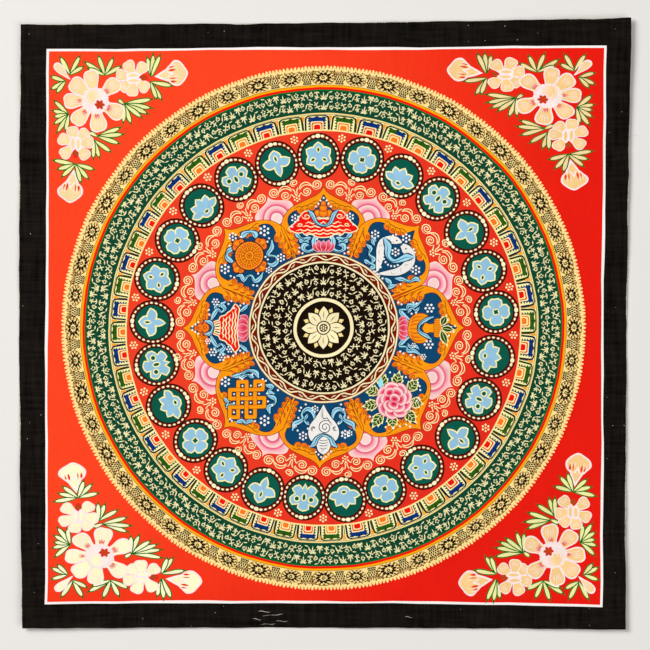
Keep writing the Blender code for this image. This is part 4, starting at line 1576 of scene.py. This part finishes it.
@dataclass
class Cutter:
    """Cuts a flat face along the outlines that show on it."""

    spacing_mm: float = 6.6
    slack_mm: float = 1e-4

    def cut(self, edge: Loops, picture: Picture | None = None) -> Face:
        """Triangulate a face, first along every outline and then only where paints meet.

        Args:
            edge: The edge of the face.
            picture: The design on it, if it has one.

        Returns:
            The triangles inside the edge, anticlockwise.
        """
        inner = self.lattice(edge.points)
        lines = np.column_stack((np.arange(len(edge.points)), edge.follows))
        if picture is None:
            return self.inside(edge, *self.triangulate(np.vstack((edge.points, inner)), lines))
        order, outlines, drawn = self.near(edge.points, picture)
        loops = Loops.of(edge.points, *drawn)
        loops.follows[: len(edge.points)] = edge.follows
        every = np.column_stack((np.arange(len(loops.points)), loops.follows))
        face = self.inside(edge, *self.triangulate(loops.points, every), order, outlines)
        seen = np.flatnonzero(np.isin(order, face.tops))
        order, outlines = [order[i] for i in seen], [outlines[i] for i in seen]
        places, lines = self.meetings(face, picture)
        return self.inside(edge, *self.triangulate(np.vstack((places, inner)), lines), order, outlines)

    def triangulate(self, places: Points, lines: np.ndarray) -> tuple[Points, np.ndarray]:
        """Constrained Delaunay triangles over places, with no triangle across a line."""
        found = delaunay_2d_cdt([Vector(p) for p in places], lines.tolist(), [], 0, self.slack_mm)
        return np.array([tuple(v) for v in found[0]]), np.array(found[2])

    def lattice(self, edge: Points) -> Points:
        """Even points over the box of the edge, so that plain places follow the lie of the cloth."""
        low, high = edge.min(axis=0), edge.max(axis=0)
        counts = np.round((high - low) / self.spacing_mm).astype(int) + 1
        steps = [np.linspace(a, b, n)[1:-1] for a, b, n in zip(low, high, counts, strict=True)]
        return np.column_stack([grid.ravel() for grid in np.meshgrid(*steps)])

    @staticmethod
    def near(edge: Points, picture: Picture) -> tuple[list[int], list[Points], list[Points]]:
        """The outlines that can cover part of a face.

        Args:
            edge: Points of its edge.
            picture: The design.

        Returns:
            Their numbers and outlines in painting order, and those whose lines cross its box.
        """
        low, high = edge.min(axis=0), edge.max(axis=0)
        order, outlines, drawn = [], [], []
        for i, outline in enumerate(picture.outlines):
            least, most = outline.min(axis=0), outline.max(axis=0)
            if (most > low).all() and (least < high).all():
                order.append(i)
                outlines.append(outline)
                if ((outline > low) & (outline < high)).all(axis=1).any():
                    drawn.append(outline)
        return order, outlines, drawn

    @staticmethod
    def meetings(face: Face, picture: Picture) -> tuple[Points, np.ndarray]:
        """The lines along which two paints meet, and those of the edge, with their points."""
        kinds: dict[object, int] = {}
        keys = (p if isinstance(p, Pigment) else i for i, p in enumerate(picture.paints))
        names = [kinds.setdefault(key, len(kinds)) for key in keys]
        paint = np.array([*names, -1])[face.tops]
        start, end = face.sides()
        size = len(face.places)
        key, back = start * size + end, end * size + start
        order = np.argsort(key)
        at = np.minimum(np.searchsorted(key[order], back), len(key) - 1)
        twin = order[at]
        paired = key[twin] == back
        same = paired & (np.repeat(paint, 3) == np.repeat(paint, 3)[twin])
        kept = ~same & (~paired | (start < end))
        numbers, lines = np.unique(np.column_stack((start, end))[kept], return_inverse=True)
        return face.places[numbers], lines.reshape(-1, 2)

    def inside(
        self,
        edge: Loops,
        places: Points,
        triangles: np.ndarray,
        order: Sequence[int] = (),
        outlines: Sequence[Points] = (),
    ) -> Face:
        """Keep the triangles inside an edge, and find the outline on top of each.

        Args:
            edge: The edge of the face.
            places: Points of the triangles.
            triangles: Their numbers.
            order: Numbers of the outlines, in painting order.
            outlines: The outlines themselves.

        Returns:
            The face, with -1 where no outline lies.
        """
        centres = places[triangles].mean(axis=1)
        rising = np.argsort(centres[:, 1])
        x, y = centres[rising].T
        within = np.zeros(len(rising), bool)
        within[wound(edge.points, edge.points[edge.follows], x, y)] = True
        rising, x, y = rising[within], x[within], y[within]
        tops = np.full(len(rising), -1)
        for i, outline in zip(order, outlines, strict=True):
            tops[wound(outline, np.roll(outline, -1, axis=0), x, y)] = i
        return Face(places, triangles[rising], tops)


def wound(start: Points, end: Points, x: np.ndarray, y: np.ndarray) -> np.ndarray:
    """Which points a closed outline winds round.

    Each line is met only with the points of its own height: it counts 1 upwards or -1
    downwards where it passes to the right of a point, and a sum other than 0 is inside.

    Args:
        start: First points of the outline's lines.
        end: Last points of the same lines.
        x: Places across of the points to test.
        y: Their heights, in rising order.

    Returns:
        The numbers of the points inside.
    """
    low = np.searchsorted(y, np.minimum(start[:, 1], end[:, 1]))
    high = np.searchsorted(y, np.maximum(start[:, 1], end[:, 1]))
    count = high - low
    if not count.any():
        return np.zeros(0, int)
    line = np.repeat(np.arange(len(start)), count)
    point = np.arange(count.sum()) + np.repeat(low - (np.cumsum(count) - count), count)
    run = end[line] - start[line]
    crossing = start[line, 0] + run[:, 0] * (y[point] - start[line, 1]) / run[:, 1]
    turns = np.bincount(point - low.min(), np.where(crossing > x[point], np.sign(run[:, 1]), 0))
    return low.min() + np.flatnonzero(np.abs(turns) > 0.5)


@dataclass(frozen=True)
class BakeLayout:
    """Where each side of a thin piece lies on its square OFBake map."""

    margin: float = 0.012
    face: float = 0.93
    strip: float = 0.952
    strip_step: float = 0.006
    back: float = 0.975
    back_width: float = 0.014

    def painted(self, share: Points) -> Points:
        """The painted face over most of the map."""
        return self.margin + share * (self.face, 1 - 2 * self.margin)

    def rim(self, turn: np.ndarray, row: np.ndarray) -> Points:
        """The edge unrolled up a narrow strip, row by row."""
        across = self.strip + row * self.strip_step
        return np.column_stack((across, self.margin + turn * (1 - 2 * self.margin)))

    def underside(self, share: Points) -> Points:
        """The plain back, squeezed into the last strip."""
        return (self.back, self.margin) + share * (self.back_width, 1 - 2 * self.margin)


@dataclass
class Patch:
    """Part of a closed mesh: points in metres, triangles, and what each corner of them carries."""

    points: np.ndarray
    faces: np.ndarray
    paint: np.ndarray
    spots: Points
    normals: np.ndarray
    slot: int


def closed_mesh(name: str, patches: Sequence[Patch]) -> bpy.types.Object:
    """Join patches along the points that they share.

    Args:
        name: Name of the object and its mesh.
        patches: Parts that together leave no open edge.

    Returns:
        An object at the origin, with a "paint" colour and an "OFBake" map on its corners.
    """
    first = np.cumsum([0, *(len(p.points) for p in patches)])
    points = np.vstack([p.points for p in patches])
    faces = np.vstack([p.faces + start for p, start in zip(patches, first[:-1], strict=True)])
    _, kept, number = np.unique(np.round(points / MM, 6), axis=0, return_index=True, return_inverse=True)
    points, faces = points[kept], number.ravel()[faces]
    mesh = bpy.data.meshes.new(name)
    mesh.vertices.add(len(points))
    mesh.vertices.foreach_set("co", points.astype(np.float32).ravel())
    mesh.loops.add(faces.size)
    mesh.loops.foreach_set("vertex_index", faces.astype(np.int32).ravel())
    mesh.polygons.add(len(faces))
    mesh.polygons.foreach_set("loop_start", np.arange(0, faces.size, 3, dtype=np.int32))
    slots = np.repeat([p.slot for p in patches], [len(p.faces) for p in patches])
    mesh.polygons.foreach_set("material_index", slots.astype(np.int32))
    mesh.polygons.foreach_set("use_smooth", np.ones(len(faces), bool))
    mesh.update(calc_edges=True)
    paint = mesh.color_attributes.new("paint", "FLOAT_COLOR", "CORNER")
    paint.data.foreach_set("color", np.vstack([p.paint for p in patches]).astype(np.float32).ravel())
    layer = mesh.uv_layers.new(name="OFBake")
    layer.data.foreach_set("uv", np.vstack([p.spots for p in patches]).astype(np.float32).ravel())
    mesh.normals_split_custom_set(np.vstack([p.normals for p in patches]).tolist())
    piece = bpy.data.objects.new(name, mesh)
    bpy.context.scene.collection.objects.link(piece)
    log.info("%s: %d points, %d triangles", name, len(points), len(faces))
    return piece


@dataclass
class ThinPiece:
    """A painted face, its edge and a plain back, closed into one mesh that follows the cloth."""

    name: str
    cloth: Cloth
    bottom_mm: float
    top_mm: float
    bulge_mm: float
    ground: Pigment
    back_slot: int = 0
    layout: BakeLayout = field(default_factory=BakeLayout)
    thin_paints: tuple[Pigment, ...] = (Pigment.LAMP_BLACK, Pigment.WORN_COTTON)
    thin_body: float = 0.3
    back_spacing_mm: float = 9.0
    edge_tilt: float = 0.6
    low: np.ndarray = field(init=False)
    high: np.ndarray = field(init=False)

    def build(self, face: Face, picture: Picture) -> bpy.types.Object:
        """Close a cut face with its edge and a plain back, and let it ride with the sheet."""
        edge = Loops.around(face)
        back = Cutter(spacing_mm=self.back_spacing_mm).cut(edge)
        patches = (self.face_patch(face, picture), self.edge_patch(edge), self.back_patch(back))
        piece = closed_mesh(self.name, patches)
        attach(piece, "root")
        return piece

    def lifted(self, places: Points, above_mm: float) -> np.ndarray:
        """Places in millimetres made points in metres, at a height above the sheet's underside."""
        return np.column_stack((places * MM, self.cloth.rise(places) + above_mm * MM))

    def share(self, places: Points) -> Points:
        """Places as shares of the face's box, from 0 to 1."""
        return (places - self.low) / (self.high - self.low)

    def face_patch(self, face: Face, picture: Picture) -> Patch:
        """The painted face: the topmost paint at each corner, its body as the fourth value."""
        used, numbers = np.unique(face.triangles, return_inverse=True)
        numbers = numbers.reshape(-1, 3)
        places = face.places[used]
        self.low, self.high = places.min(axis=0), places.max(axis=0)
        corners = places[numbers].reshape(-1, 2)
        return Patch(
            points=self.lifted(places, self.top_mm),
            faces=numbers,
            paint=self.paint_of(face.tops, corners, picture),
            spots=self.layout.painted(self.share(corners)),
            normals=self.cloth.normals(places)[numbers].reshape(-1, 3),
            slot=0,
        )

    def paint_of(self, tops: np.ndarray, corners: Points, picture: Picture) -> np.ndarray:
        """Linear colour and body at each corner: the ground where no outline lies on top."""
        plain = np.array([(p if isinstance(p, Pigment) else p.first).linear() for p in picture.paints])
        body = np.array([self.thin_body if p in self.thin_paints else 1.0 for p in picture.paints])
        shade = np.array(picture.shades)
        ground = np.append(self.ground.linear(), self.thin_body)
        table = np.vstack((np.column_stack((plain * shade[:, None], body)), ground))
        paint = np.repeat(table[tops], 3, axis=0)
        order = np.argsort(tops, kind="stable")
        rising = tops[order]
        for i, blend in enumerate(picture.paints):
            if isinstance(blend, Wash):
                first, last = np.searchsorted(rising, (i, i + 1))
                mine = (order[first:last, None] * 3 + np.arange(3)).ravel()
                paint[mine, :3] = blend.colours(corners[mine]) * shade[i]
        return paint

    def bare(self, count: int) -> np.ndarray:
        """The ground's colour with no body, once for each corner."""
        return np.tile(np.append(self.ground.linear(), 0.0), (count, 1))

    def edge_patch(self, edge: Loops) -> Patch:
        """The edge: two rows of faces over a line that bulges a little at half height."""
        out, follows, n = edge.outwards(), edge.follows, len(edge.points)
        heights = (self.top_mm, (self.top_mm + self.bottom_mm) / 2, self.bottom_mm)
        rows = [self.lifted(edge.points, height) for height in heights]
        rows[1][:, :2] += out * self.bulge_mm * MM
        upper = np.column_stack((np.arange(n), n + np.arange(n), n + follows, follows))
        quads = np.vstack((upper, upper + n))
        faces = np.vstack((quads[:, [0, 1, 2]], quads[:, [0, 2, 3]]))
        row = faces // n
        tilt = self.edge_tilt * (1 - row)
        normal = np.dstack((out[faces % n], tilt[..., None])).reshape(-1, 3)
        turn = np.arctan2(edge.points[:, 1], edge.points[:, 0])[faces % n] / FULL_TURN + 0.5
        turn = np.minimum(turn + (turn.max(axis=1, keepdims=True) - turn > 0.5), 1.0)
        return Patch(
            points=np.vstack(rows),
            faces=faces,
            paint=self.bare(faces.size),
            spots=self.layout.rim(turn.ravel(), row.ravel()),
            normals=normal / np.linalg.norm(normal, axis=1)[:, None],
            slot=self.back_slot,
        )

    def back_patch(self, back: Face) -> Patch:
        """The plain underside, facing down."""
        used, numbers = np.unique(back.triangles[:, ::-1], return_inverse=True)
        numbers = numbers.reshape(-1, 3)
        places = back.places[used]
        return Patch(
            points=self.lifted(places, self.bottom_mm),
            faces=numbers,
            paint=self.bare(numbers.size),
            spots=self.layout.underside(self.share(places)[numbers].reshape(-1, 2)),
            normals=-self.cloth.normals(places)[numbers].reshape(-1, 3),
            slot=self.back_slot,
        )


class Film(NamedTuple):
    """A ring of paint that is a piece of its own: its name, its two radii and its lowest paint."""

    name: str
    inner: float
    outer: float
    ground: Pigment


@dataclass
class Painting:
    """The whole work: the sheet with its border and corners, and the round design in four films."""

    cloth: Cloth = field(default_factory=Cloth)
    cutter: Cutter = field(default_factory=Cutter)
    frame_line: Field = field(default_factory=Field)
    films: tuple[Film, ...] = (
        Film("scroll_ring_paint", 165.9, 182.2, Pigment.VERMILION),
        Film("teal_band_paint", 148.2, 165.9, Pigment.TEAL),
        Film("roundel_ring_paint", 104.4, 148.2, Pigment.SCARLET),
        Film("lotus_paint", 0.0, 104.4, Pigment.SCARLET),
    )
    film_mm: float = 0.08
    sunk_mm: float = 0.04
    sides_per_ring: int = 720

    def build(self) -> tuple[bpy.types.Object, list[bpy.types.Object]]:
        """Paint the design, then cut the sheet and every film."""
        picture = Picture()
        rim = self.cloth.rim()
        Wear().paint(picture, rim)
        self.frame_line.paint(picture)
        warm = (Pigment.PEACH_WARM, Pigment.PEACH_WARM)
        sprays = (
            (CornerSpray(), (0, 0), (1, 1)),
            (CornerSpray(*warm, Pigment.PEACH), (4.5, 1.2), (1.08, 0.93)),
            (CornerSpray(*warm), (0, 0), (1.02, 1)),
            (CornerSpray(Pigment.BEAD, Pigment.GOLD_PALE, Pigment.BEAD), (1.0, 0.0), (1.1, 0.92)),
        )
        for pen, (spray, (x, y), size) in zip(self.frame_line.corner_pens(picture), sprays, strict=True):
            spray.paint(pen.at(x, y, 0, size))
        thick = self.cloth.thickness / MM
        sheet = ThinPiece("painted_canvas", self.cloth, 0.0, thick, 0.12, Pigment.LAMP_BLACK, back_slot=1)
        canvas = sheet.build(self.cutter.cut(Loops.of(picture.wobble(rim)), picture), picture)
        wheel = Wheel(picture)
        self.paint_wheel(wheel)
        films = []
        for film in self.films:
            face = self.cutter.cut(self.ring(wheel, film), picture)
            low, high = thick - self.sunk_mm, thick + self.film_mm
            thin = ThinPiece(film.name, self.cloth, low, high, 0.0, film.ground)
            films.append(thin.build(face, picture))
        return canvas, films

    @staticmethod
    def paint_wheel(wheel: Wheel) -> None:
        """Paint the round design from its outer ring to its heart."""
        rows = (SprigRow(radius=160.7, units=216), SprigRow(radius=153.7, units=207))
        rings = (ScrollRing(), Hoops(), *rows, FenceRing(), RoundelRing())
        curls = CurlZone(tuple(sorted(SAFFRON_TIPS + PINK_TIPS)))
        for part in (*rings, curls, Lotus(SAFFRON_TIPS, PINK_TIPS), Emblems(), HeartDisc()):
            part.paint(wheel)
            log.info("%s: %d outlines so far", type(part).__name__, len(wheel.picture.outlines))

    def ring(self, wheel: Wheel, film: Film) -> Loops:
        """The edge of a film: its outer circle, and its inner one the other way round."""
        outer, inner = (circle(r, self.sides_per_ring, wheel.centre) for r in (film.outer, film.inner))
        return Loops.of(outer[::-1], inner) if film.inner else Loops.of(outer[::-1])


@dataclass
class FrayedEdge:
    """Short cotton fibres along the cut, and two loose threads at the right edge."""

    name: str = "frayed_edge"
    cloth: Cloth = field(default_factory=Cloth)
    fibres: int = 420
    shortest_mm: float = 0.25
    longest_mm: float = 1.3
    radius_mm: float = 0.055
    tip_share: float = 0.35
    heading_spread: float = 0.55
    bend_spread: float = 0.5
    rooted_mm: float = 0.15
    lowest_mm: float = 0.08
    rings: int = 4
    sides: int = 3
    seed: int = 7
    thread_rise_mm: tuple[float, float] = (0.9, 0.25)
    threads: tuple[tuple[tuple[float, float], ...], ...] = (
        ((209.4, 132.6), (211.0, 131.9), (213.4, 130.6), (215.2, 130.2), (216.6, 129.3)),
        ((208.4, 58.6), (210.2, 58.9), (211.8, 57.6), (213.0, 56.2), (213.6, 55.8)),
    )

    def build(self) -> bpy.types.Object:
        """Make every fibre a thin three-sided tube that tapers to its tip, all in one mesh."""
        lines = np.vstack((self.fibre_lines(), self.thread_lines()))
        count, rings, sides = len(lines), self.rings, self.sides
        run = np.gradient(lines, axis=1)
        run /= np.linalg.norm(run, axis=2, keepdims=True)
        side = np.cross(run, (0.0, 0.0, 1.0))
        side /= np.linalg.norm(side, axis=2, keepdims=True)
        lift = np.cross(side, run)
        a = np.arange(sides) * FULL_TURN / sides
        taper = np.linspace(1.0, self.tip_share, rings)[None, :, None, None] * self.radius_mm
        ring = side[:, :, None] * np.cos(a)[:, None] + lift[:, :, None] * np.sin(a)[:, None]
        points = (lines[:, :, None] + ring * taper) * MM
        number = np.arange(count * rings * sides).reshape(count, rings, sides)
        near, far = number[:, :-1], number[:, 1:]
        walls = np.stack((near, np.roll(near, -1, 2), np.roll(far, -1, 2), far), axis=-1).reshape(-1, 4)
        caps = np.vstack((number[:, 0, ::-1], number[:, -1]))
        mesh = bpy.data.meshes.new(self.name)
        mesh.from_pydata(points.reshape(-1, 3).tolist(), [], [*walls.tolist(), *caps.tolist()])
        mesh.polygons.foreach_set("use_smooth", np.ones(len(mesh.polygons), bool))
        piece = bpy.data.objects.new(self.name, mesh)
        bpy.context.scene.collection.objects.link(piece)
        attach(piece, "root")
        log.info("%s: %d fibres", self.name, count)
        return piece

    def fibre_lines(self) -> np.ndarray:
        """Centre lines of the short fibres: outwards from the cut, each bent and sagging a little."""
        rng = np.random.default_rng(self.seed)
        rim = self.cloth.rim()
        at = rng.integers(0, len(rim), self.fibres)
        run = np.roll(rim, -1, axis=0)[at] - np.roll(rim, 1, axis=0)[at]
        heading = np.arctan2(-run[:, 0], run[:, 1]) + rng.normal(0, self.heading_spread, self.fibres)
        span = self.longest_mm - self.shortest_mm
        long = self.shortest_mm + span * rng.random(self.fibres) ** 2
        t = np.linspace(0, 1, self.rings)
        angle = heading[:, None] + rng.normal(0, self.bend_spread, self.fibres)[:, None] * t
        reach = long[:, None] * t - self.rooted_mm
        flat = rim[at][:, None] + np.stack((np.cos(angle), np.sin(angle)), axis=-1) * reach[..., None]
        base = self.cloth.rise(rim[at]) / MM + rng.uniform(0.2, 0.8, self.fibres)
        height = np.maximum(base[:, None] - 0.5 * long[:, None] * t**2, self.lowest_mm)
        return np.dstack((flat, height))

    def thread_lines(self) -> np.ndarray:
        """Centre lines of the two loose threads, each cut into short lengths that follow its curve."""
        pieces = []
        reach = self.rings - 1
        for knots in self.threads:
            flat = curve(knots, 6)
            line = np.column_stack((flat, np.linspace(*self.thread_rise_mm, len(flat))))
            pieces += [line[start : start + self.rings] for start in range(0, len(line) - reach, reach)]
        return np.array(pieces)


# ---------------------------------------------------------------- finishes


def node(tree: NodeTree, kind: str, links: dict | None = None, **settings: object) -> Node:
    """Add a node with its settings and links.

    Args:
        tree: The material's node tree.
        kind: The node's type name after "ShaderNode".
        links: For each input, by name or number, a node whose first output feeds it, or another
            output socket, or a value.
        **settings: The node's own properties.

    Returns:
        The new node.
    """
    made = tree.nodes.new("ShaderNode" + kind)
    for name, value in settings.items():
        setattr(made, name, value)
    for name, value in (links or {}).items():
        if isinstance(value, Node):
            value = value.outputs[0]
        if isinstance(value, NodeSocket):
            tree.links.new(value, made.inputs[name])
        else:
            made.inputs[name].default_value = value
    return made


def bare_material(name: str) -> tuple[bpy.types.Material, NodeTree, Node]:
    """A new material with only an output node, its tree and that node."""
    made = bpy.data.materials.new(name)
    made.use_nodes = True
    made.node_tree.nodes.clear()
    return made, made.node_tree, node(made.node_tree, "OutputMaterial")


def lumps(place: Node | NodeSocket, size_mm: float, detail: float) -> dict[str, object]:
    """Inputs of a noise whose lumps are about size_mm wide: scale = 1 / size."""
    return {"Vector": place, "Scale": 1 / (size_mm * MM), "Detail": detail}


def weave(tree: NodeTree, place: NodeSocket, thread_mm: float) -> Node:
    """The plain weave: sin(x) sin(y) over the thread pitch, so that each thread goes over and under."""
    turn = FULL_TURN / (2 * thread_mm * MM)
    split = node(tree, "SeparateXYZ", {0: place})
    waves = []
    for axis in (0, 1):
        scaled = node(tree, "Math", {0: split.outputs[axis], 1: turn}, operation="MULTIPLY")
        waves.append(node(tree, "Math", {0: scaled}, operation="SINE"))
    return node(tree, "Math", dict(enumerate(waves)), operation="MULTIPLY")


@dataclass(frozen=True)
class GouacheOnCanvas:
    """Matt mineral paint, bound with hide glue, brushed on chalk-primed cotton.

    To the eye: flat strong colour with faint clouds and brush streaks, a dry velvety surface,
    and the threads of the canvas showing softly where the paint is thin, with painted shade:
    the colour is lighter on the thread crests and darker in the hollows between them. The real
    threads lie about 0.5 mm apart; they are drawn 0.95 mm apart so that they still show in the
    render, and the thicker yarns that lift the thin black of the border in faint lines are
    2.2 mm wide for the same reason.
    """

    cloud_mm: float = 34.0
    cloud_share: float = 0.16
    streak_mm: float = 2.4
    streak_share: float = 0.13
    streak_way: tuple[float, float, float] = (1.0, 0.22, 1.0)
    streak_turn: float = 0.5
    grain_mm: float = 0.8
    grain_share: float = 0.15
    thread_mm: float = 0.95
    yarn_mm: float = 2.2
    yarn_ways: tuple[tuple[float, float, float], ...] = ((1.0, 0.09, 1.0), (0.09, 1.0, 1.0))
    yarn_shows: float = 7.0
    weave_shows: float = 0.5
    roughness: tuple[float, float] = (0.56, 0.70)
    bump_mm: float = 0.05
    bump_strength: float = 0.35
    ior: float = 1.45
    specular: float = 0.05

    def material(self) -> bpy.types.Material:
        """Colour = paint x (1, uneven by clouds, streaks and grain, + yarns and the weave's painted shade
        where paint is thin).
        """
        made, tree, out = bare_material("gouache_on_primed_canvas")
        paint = node(tree, "VertexColor", layer_name="paint")
        place = node(tree, "TexCoord").outputs["Object"]
        cloud = node(tree, "TexNoise", lumps(place, self.cloud_mm, 3.0))
        grain = node(tree, "TexNoise", lumps(place, self.grain_mm, 2.0))
        slant = {"Vector": place, "Scale": self.streak_way, "Rotation": (0, 0, self.streak_turn)}
        streak = node(tree, "TexNoise", lumps(node(tree, "Mapping", slant), self.streak_mm, 2.0))
        shares = ((cloud, self.cloud_share), (streak, self.streak_share), (grain, self.grain_share))
        value: Node | float = 1.0 - sum(share for _, share in shares) / 2
        for noise, share in shares:
            value = node(tree, "Math", {0: noise, 1: share, 2: value}, operation="MULTIPLY_ADD")
        thread = weave(tree, place, self.thread_mm)
        thin = node(tree, "Math", {0: 1.0, 1: paint.outputs["Alpha"]}, operation="SUBTRACT")
        slubs: Node | float = -1.0
        for way in self.yarn_ways:
            yarn = node(tree, "Mapping", {"Vector": place, "Scale": way})
            lump = node(tree, "TexNoise", lumps(yarn, self.yarn_mm, 2.0))
            slubs = node(tree, "Math", {0: lump, 1: slubs}, operation="ADD")
        # worn: the slub lines of the thick yarns plus the weave, whose crests come out lighter and hollows
        # darker as painted shade, the same pattern as the bump.
        worn = node(tree, "Math", {0: slubs, 1: self.yarn_shows, 2: thread}, operation="MULTIPLY_ADD")
        shown = node(tree, "Math", {0: thin, 1: worn}, operation="MULTIPLY")
        # The paint's uneven tone, plus that painted weave shade where the paint is thin.
        light = node(tree, "Math", {0: shown, 1: self.weave_shows, 2: value}, operation="MULTIPLY_ADD")
        colour = node(tree, "VectorMath", {0: paint, 1: light}, operation="MULTIPLY")
        smooth, dry = self.roughness
        limits = {"From Min": 0.3, "From Max": 0.7, "To Min": smooth, "To Max": dry}
        rough = node(tree, "MapRange", {"Value": cloud, **limits})
        height = node(tree, "Math", {0: grain, 1: 0.5, 2: thread}, operation="MULTIPLY_ADD")
        relief = {"Height": height, "Strength": self.bump_strength, "Distance": self.bump_mm * MM}
        bump = node(tree, "Bump", relief)
        finish = {"Base Color": colour, "Roughness": rough, "Normal": bump, "IOR": self.ior}
        shader = node(tree, "BsdfPrincipled", {**finish, "Specular IOR Level": self.specular})
        tree.links.new(shader.outputs[0], out.inputs["Surface"])
        return made


@dataclass(frozen=True)
class RawCotton:
    """Unprimed cotton canvas and its broken fibres, greyed by handling.

    To the eye: a pale warm grey, fully matt cloth, with threads drawn 0.95 mm apart as on the face.
    """

    colour: str = "b3a797"
    # The darkest tone: real stains, and painted shade in the hollows of the weave and fibres.
    stain_and_hollow_shade: str = "8d8070"
    stain_mm: float = 45.0
    fibre_mm: float = 1.3
    thread_mm: float = 0.95
    thread_shows: float = 0.22
    stain_shows: float = 0.5
    roughness: float = 0.92
    bump_mm: float = 0.1
    bump_strength: float = 0.5
    ior: float = 1.47
    specular: float = 0.2

    def material(self) -> bpy.types.Material:
        """Colour from dark to pale by fibres, weave and wide stains together, the same value as the bump: the
        stains are real, the darker hollows are painted shade.
        """
        made, tree, out = bare_material("raw_cotton_canvas")
        place = node(tree, "TexCoord").outputs["Object"]
        stain = node(tree, "TexNoise", lumps(place, self.stain_mm, 4.0))
        mixed = node(tree, "TexNoise", lumps(place, self.fibre_mm, 3.0))
        thread = weave(tree, place, self.thread_mm)
        for part, share in ((thread, self.thread_shows), (stain, self.stain_shows)):
            mixed = node(tree, "Math", {0: part, 1: share, 2: mixed}, operation="MULTIPLY_ADD")
        # Dark where the value is low: at the stains, and in the low places of the bump, painted darker as
        # shade.
        ramp = node(tree, "ValToRGB", {"Fac": mixed})
        stops = zip(ramp.color_ramp.elements, (self.stain_and_hollow_shade, self.colour), (0.45, 0.95), strict=True)
        for element, code, at in stops:
            element.color = (*linear_rgb(code), 1.0)
            element.position = at
        relief = {"Height": mixed, "Strength": self.bump_strength, "Distance": self.bump_mm * MM}
        bump = node(tree, "Bump", relief)
        finish = {"Base Color": ramp, "Roughness": self.roughness, "Normal": bump, "IOR": self.ior}
        shader = node(tree, "BsdfPrincipled", {**finish, "Specular IOR Level": self.specular})
        tree.links.new(shader.outputs[0], out.inputs["Surface"])
        return made


# ---------------------------------------------------------------- the studio


@dataclass(frozen=True)
class Lamp:
    """A soft rectangular light: its place, its two sizes, its power in watts and its tint."""

    name: str
    place: tuple[float, float, float]
    size: tuple[float, float]
    watts: float
    tint: str = "ffffff"

    def build(self) -> None:
        """Hang the lamp so that it faces the middle of the sheet."""
        light = bpy.data.lights.new(self.name, "AREA")
        light.shape = "RECTANGLE"
        light.size, light.size_y = self.size
        light.energy = self.watts
        light.color = linear_rgb(self.tint)
        hung = bpy.data.objects.new(self.name, light)
        hung.location = self.place
        hung.rotation_euler = (-Vector(self.place)).to_track_quat("-Z", "Y").to_euler()
        bpy.context.scene.collection.objects.link(hung)


@dataclass
class Studio:
    """A pale floor, soft light from the upper left and a camera straight above the sheet."""

    floor_half: float = 2.5
    floor_colour: str = "e9e6e2"
    floor_roughness: float = 0.85
    floor_specular: float = 0.2
    sky_colour: str = "f4f3f1"
    sky_strength: float = 0.19
    camera_height: float = 2.0
    view_width: float = 0.4501
    aim: tuple[float, float] = (-0.00003, -0.0009)
    sensor_mm: float = 36.0
    lamps: tuple[Lamp, ...] = (
        Lamp("key_light", (-2.3, 1.4, 2.6), (2.1, 2.1), 134.0),
        Lamp("fill_light", (1.9, -1.2, 2.2), (2.2, 2.2), 38.0),
    )

    def build(self) -> None:
        """Lay the floor, hang the lamps and set the camera."""
        self.floor()
        for lamp in self.lamps:
            lamp.build()
        world = bpy.data.worlds.new("studio_world")
        world.use_nodes = True
        sky = world.node_tree.nodes["Background"].inputs
        sky["Color"].default_value = (*linear_rgb(self.sky_colour), 1.0)
        sky["Strength"].default_value = self.sky_strength
        bpy.context.scene.world = world
        self.camera()
        bpy.context.scene.view_settings.view_transform = "Standard"

    def floor(self) -> None:
        """A wide pale board, level with the underside of the sheet."""
        h = self.floor_half
        mesh = bpy.data.meshes.new("studio_floor")
        mesh.from_pydata([(-h, -h, 0), (h, -h, 0), (h, h, 0), (-h, h, 0)], [], [(0, 1, 2, 3)])
        made, tree, out = bare_material("pale_board")
        finish = {"Base Color": (*linear_rgb(self.floor_colour), 1.0), "Roughness": self.floor_roughness}
        shader = node(tree, "BsdfPrincipled", {**finish, "Specular IOR Level": self.floor_specular})
        tree.links.new(shader.outputs[0], out.inputs["Surface"])
        mesh.materials.append(made)
        floor = bpy.data.objects.new("studio_floor", mesh)
        bpy.context.scene.collection.objects.link(floor)

    def camera(self) -> None:
        """Look straight down: focal length = sensor x height / width of the view."""
        data = bpy.data.cameras.new("overhead_camera")
        data.sensor_width = self.sensor_mm
        data.lens = self.sensor_mm * self.camera_height / self.view_width
        camera = bpy.data.objects.new("overhead_camera", data)
        camera.location = (*self.aim, self.camera_height)
        bpy.context.scene.collection.objects.link(camera)
        bpy.context.scene.camera = camera


def main() -> None:
    """Build the sheet and its fibres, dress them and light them."""
    logging.basicConfig(level=logging.INFO, format="%(name)s: %(message)s")
    canvas, films = Painting().build()
    frayed = FrayedEdge().build()
    gouache, raw_cotton = GouacheOnCanvas().material(), RawCotton().material()
    for piece in (canvas, *films):
        piece.data.materials.append(gouache)
    for piece in (canvas, frayed):
        piece.data.materials.append(raw_cotton)
    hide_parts("canvas")
    Studio().build()


if __name__ == "__main__":
    main()
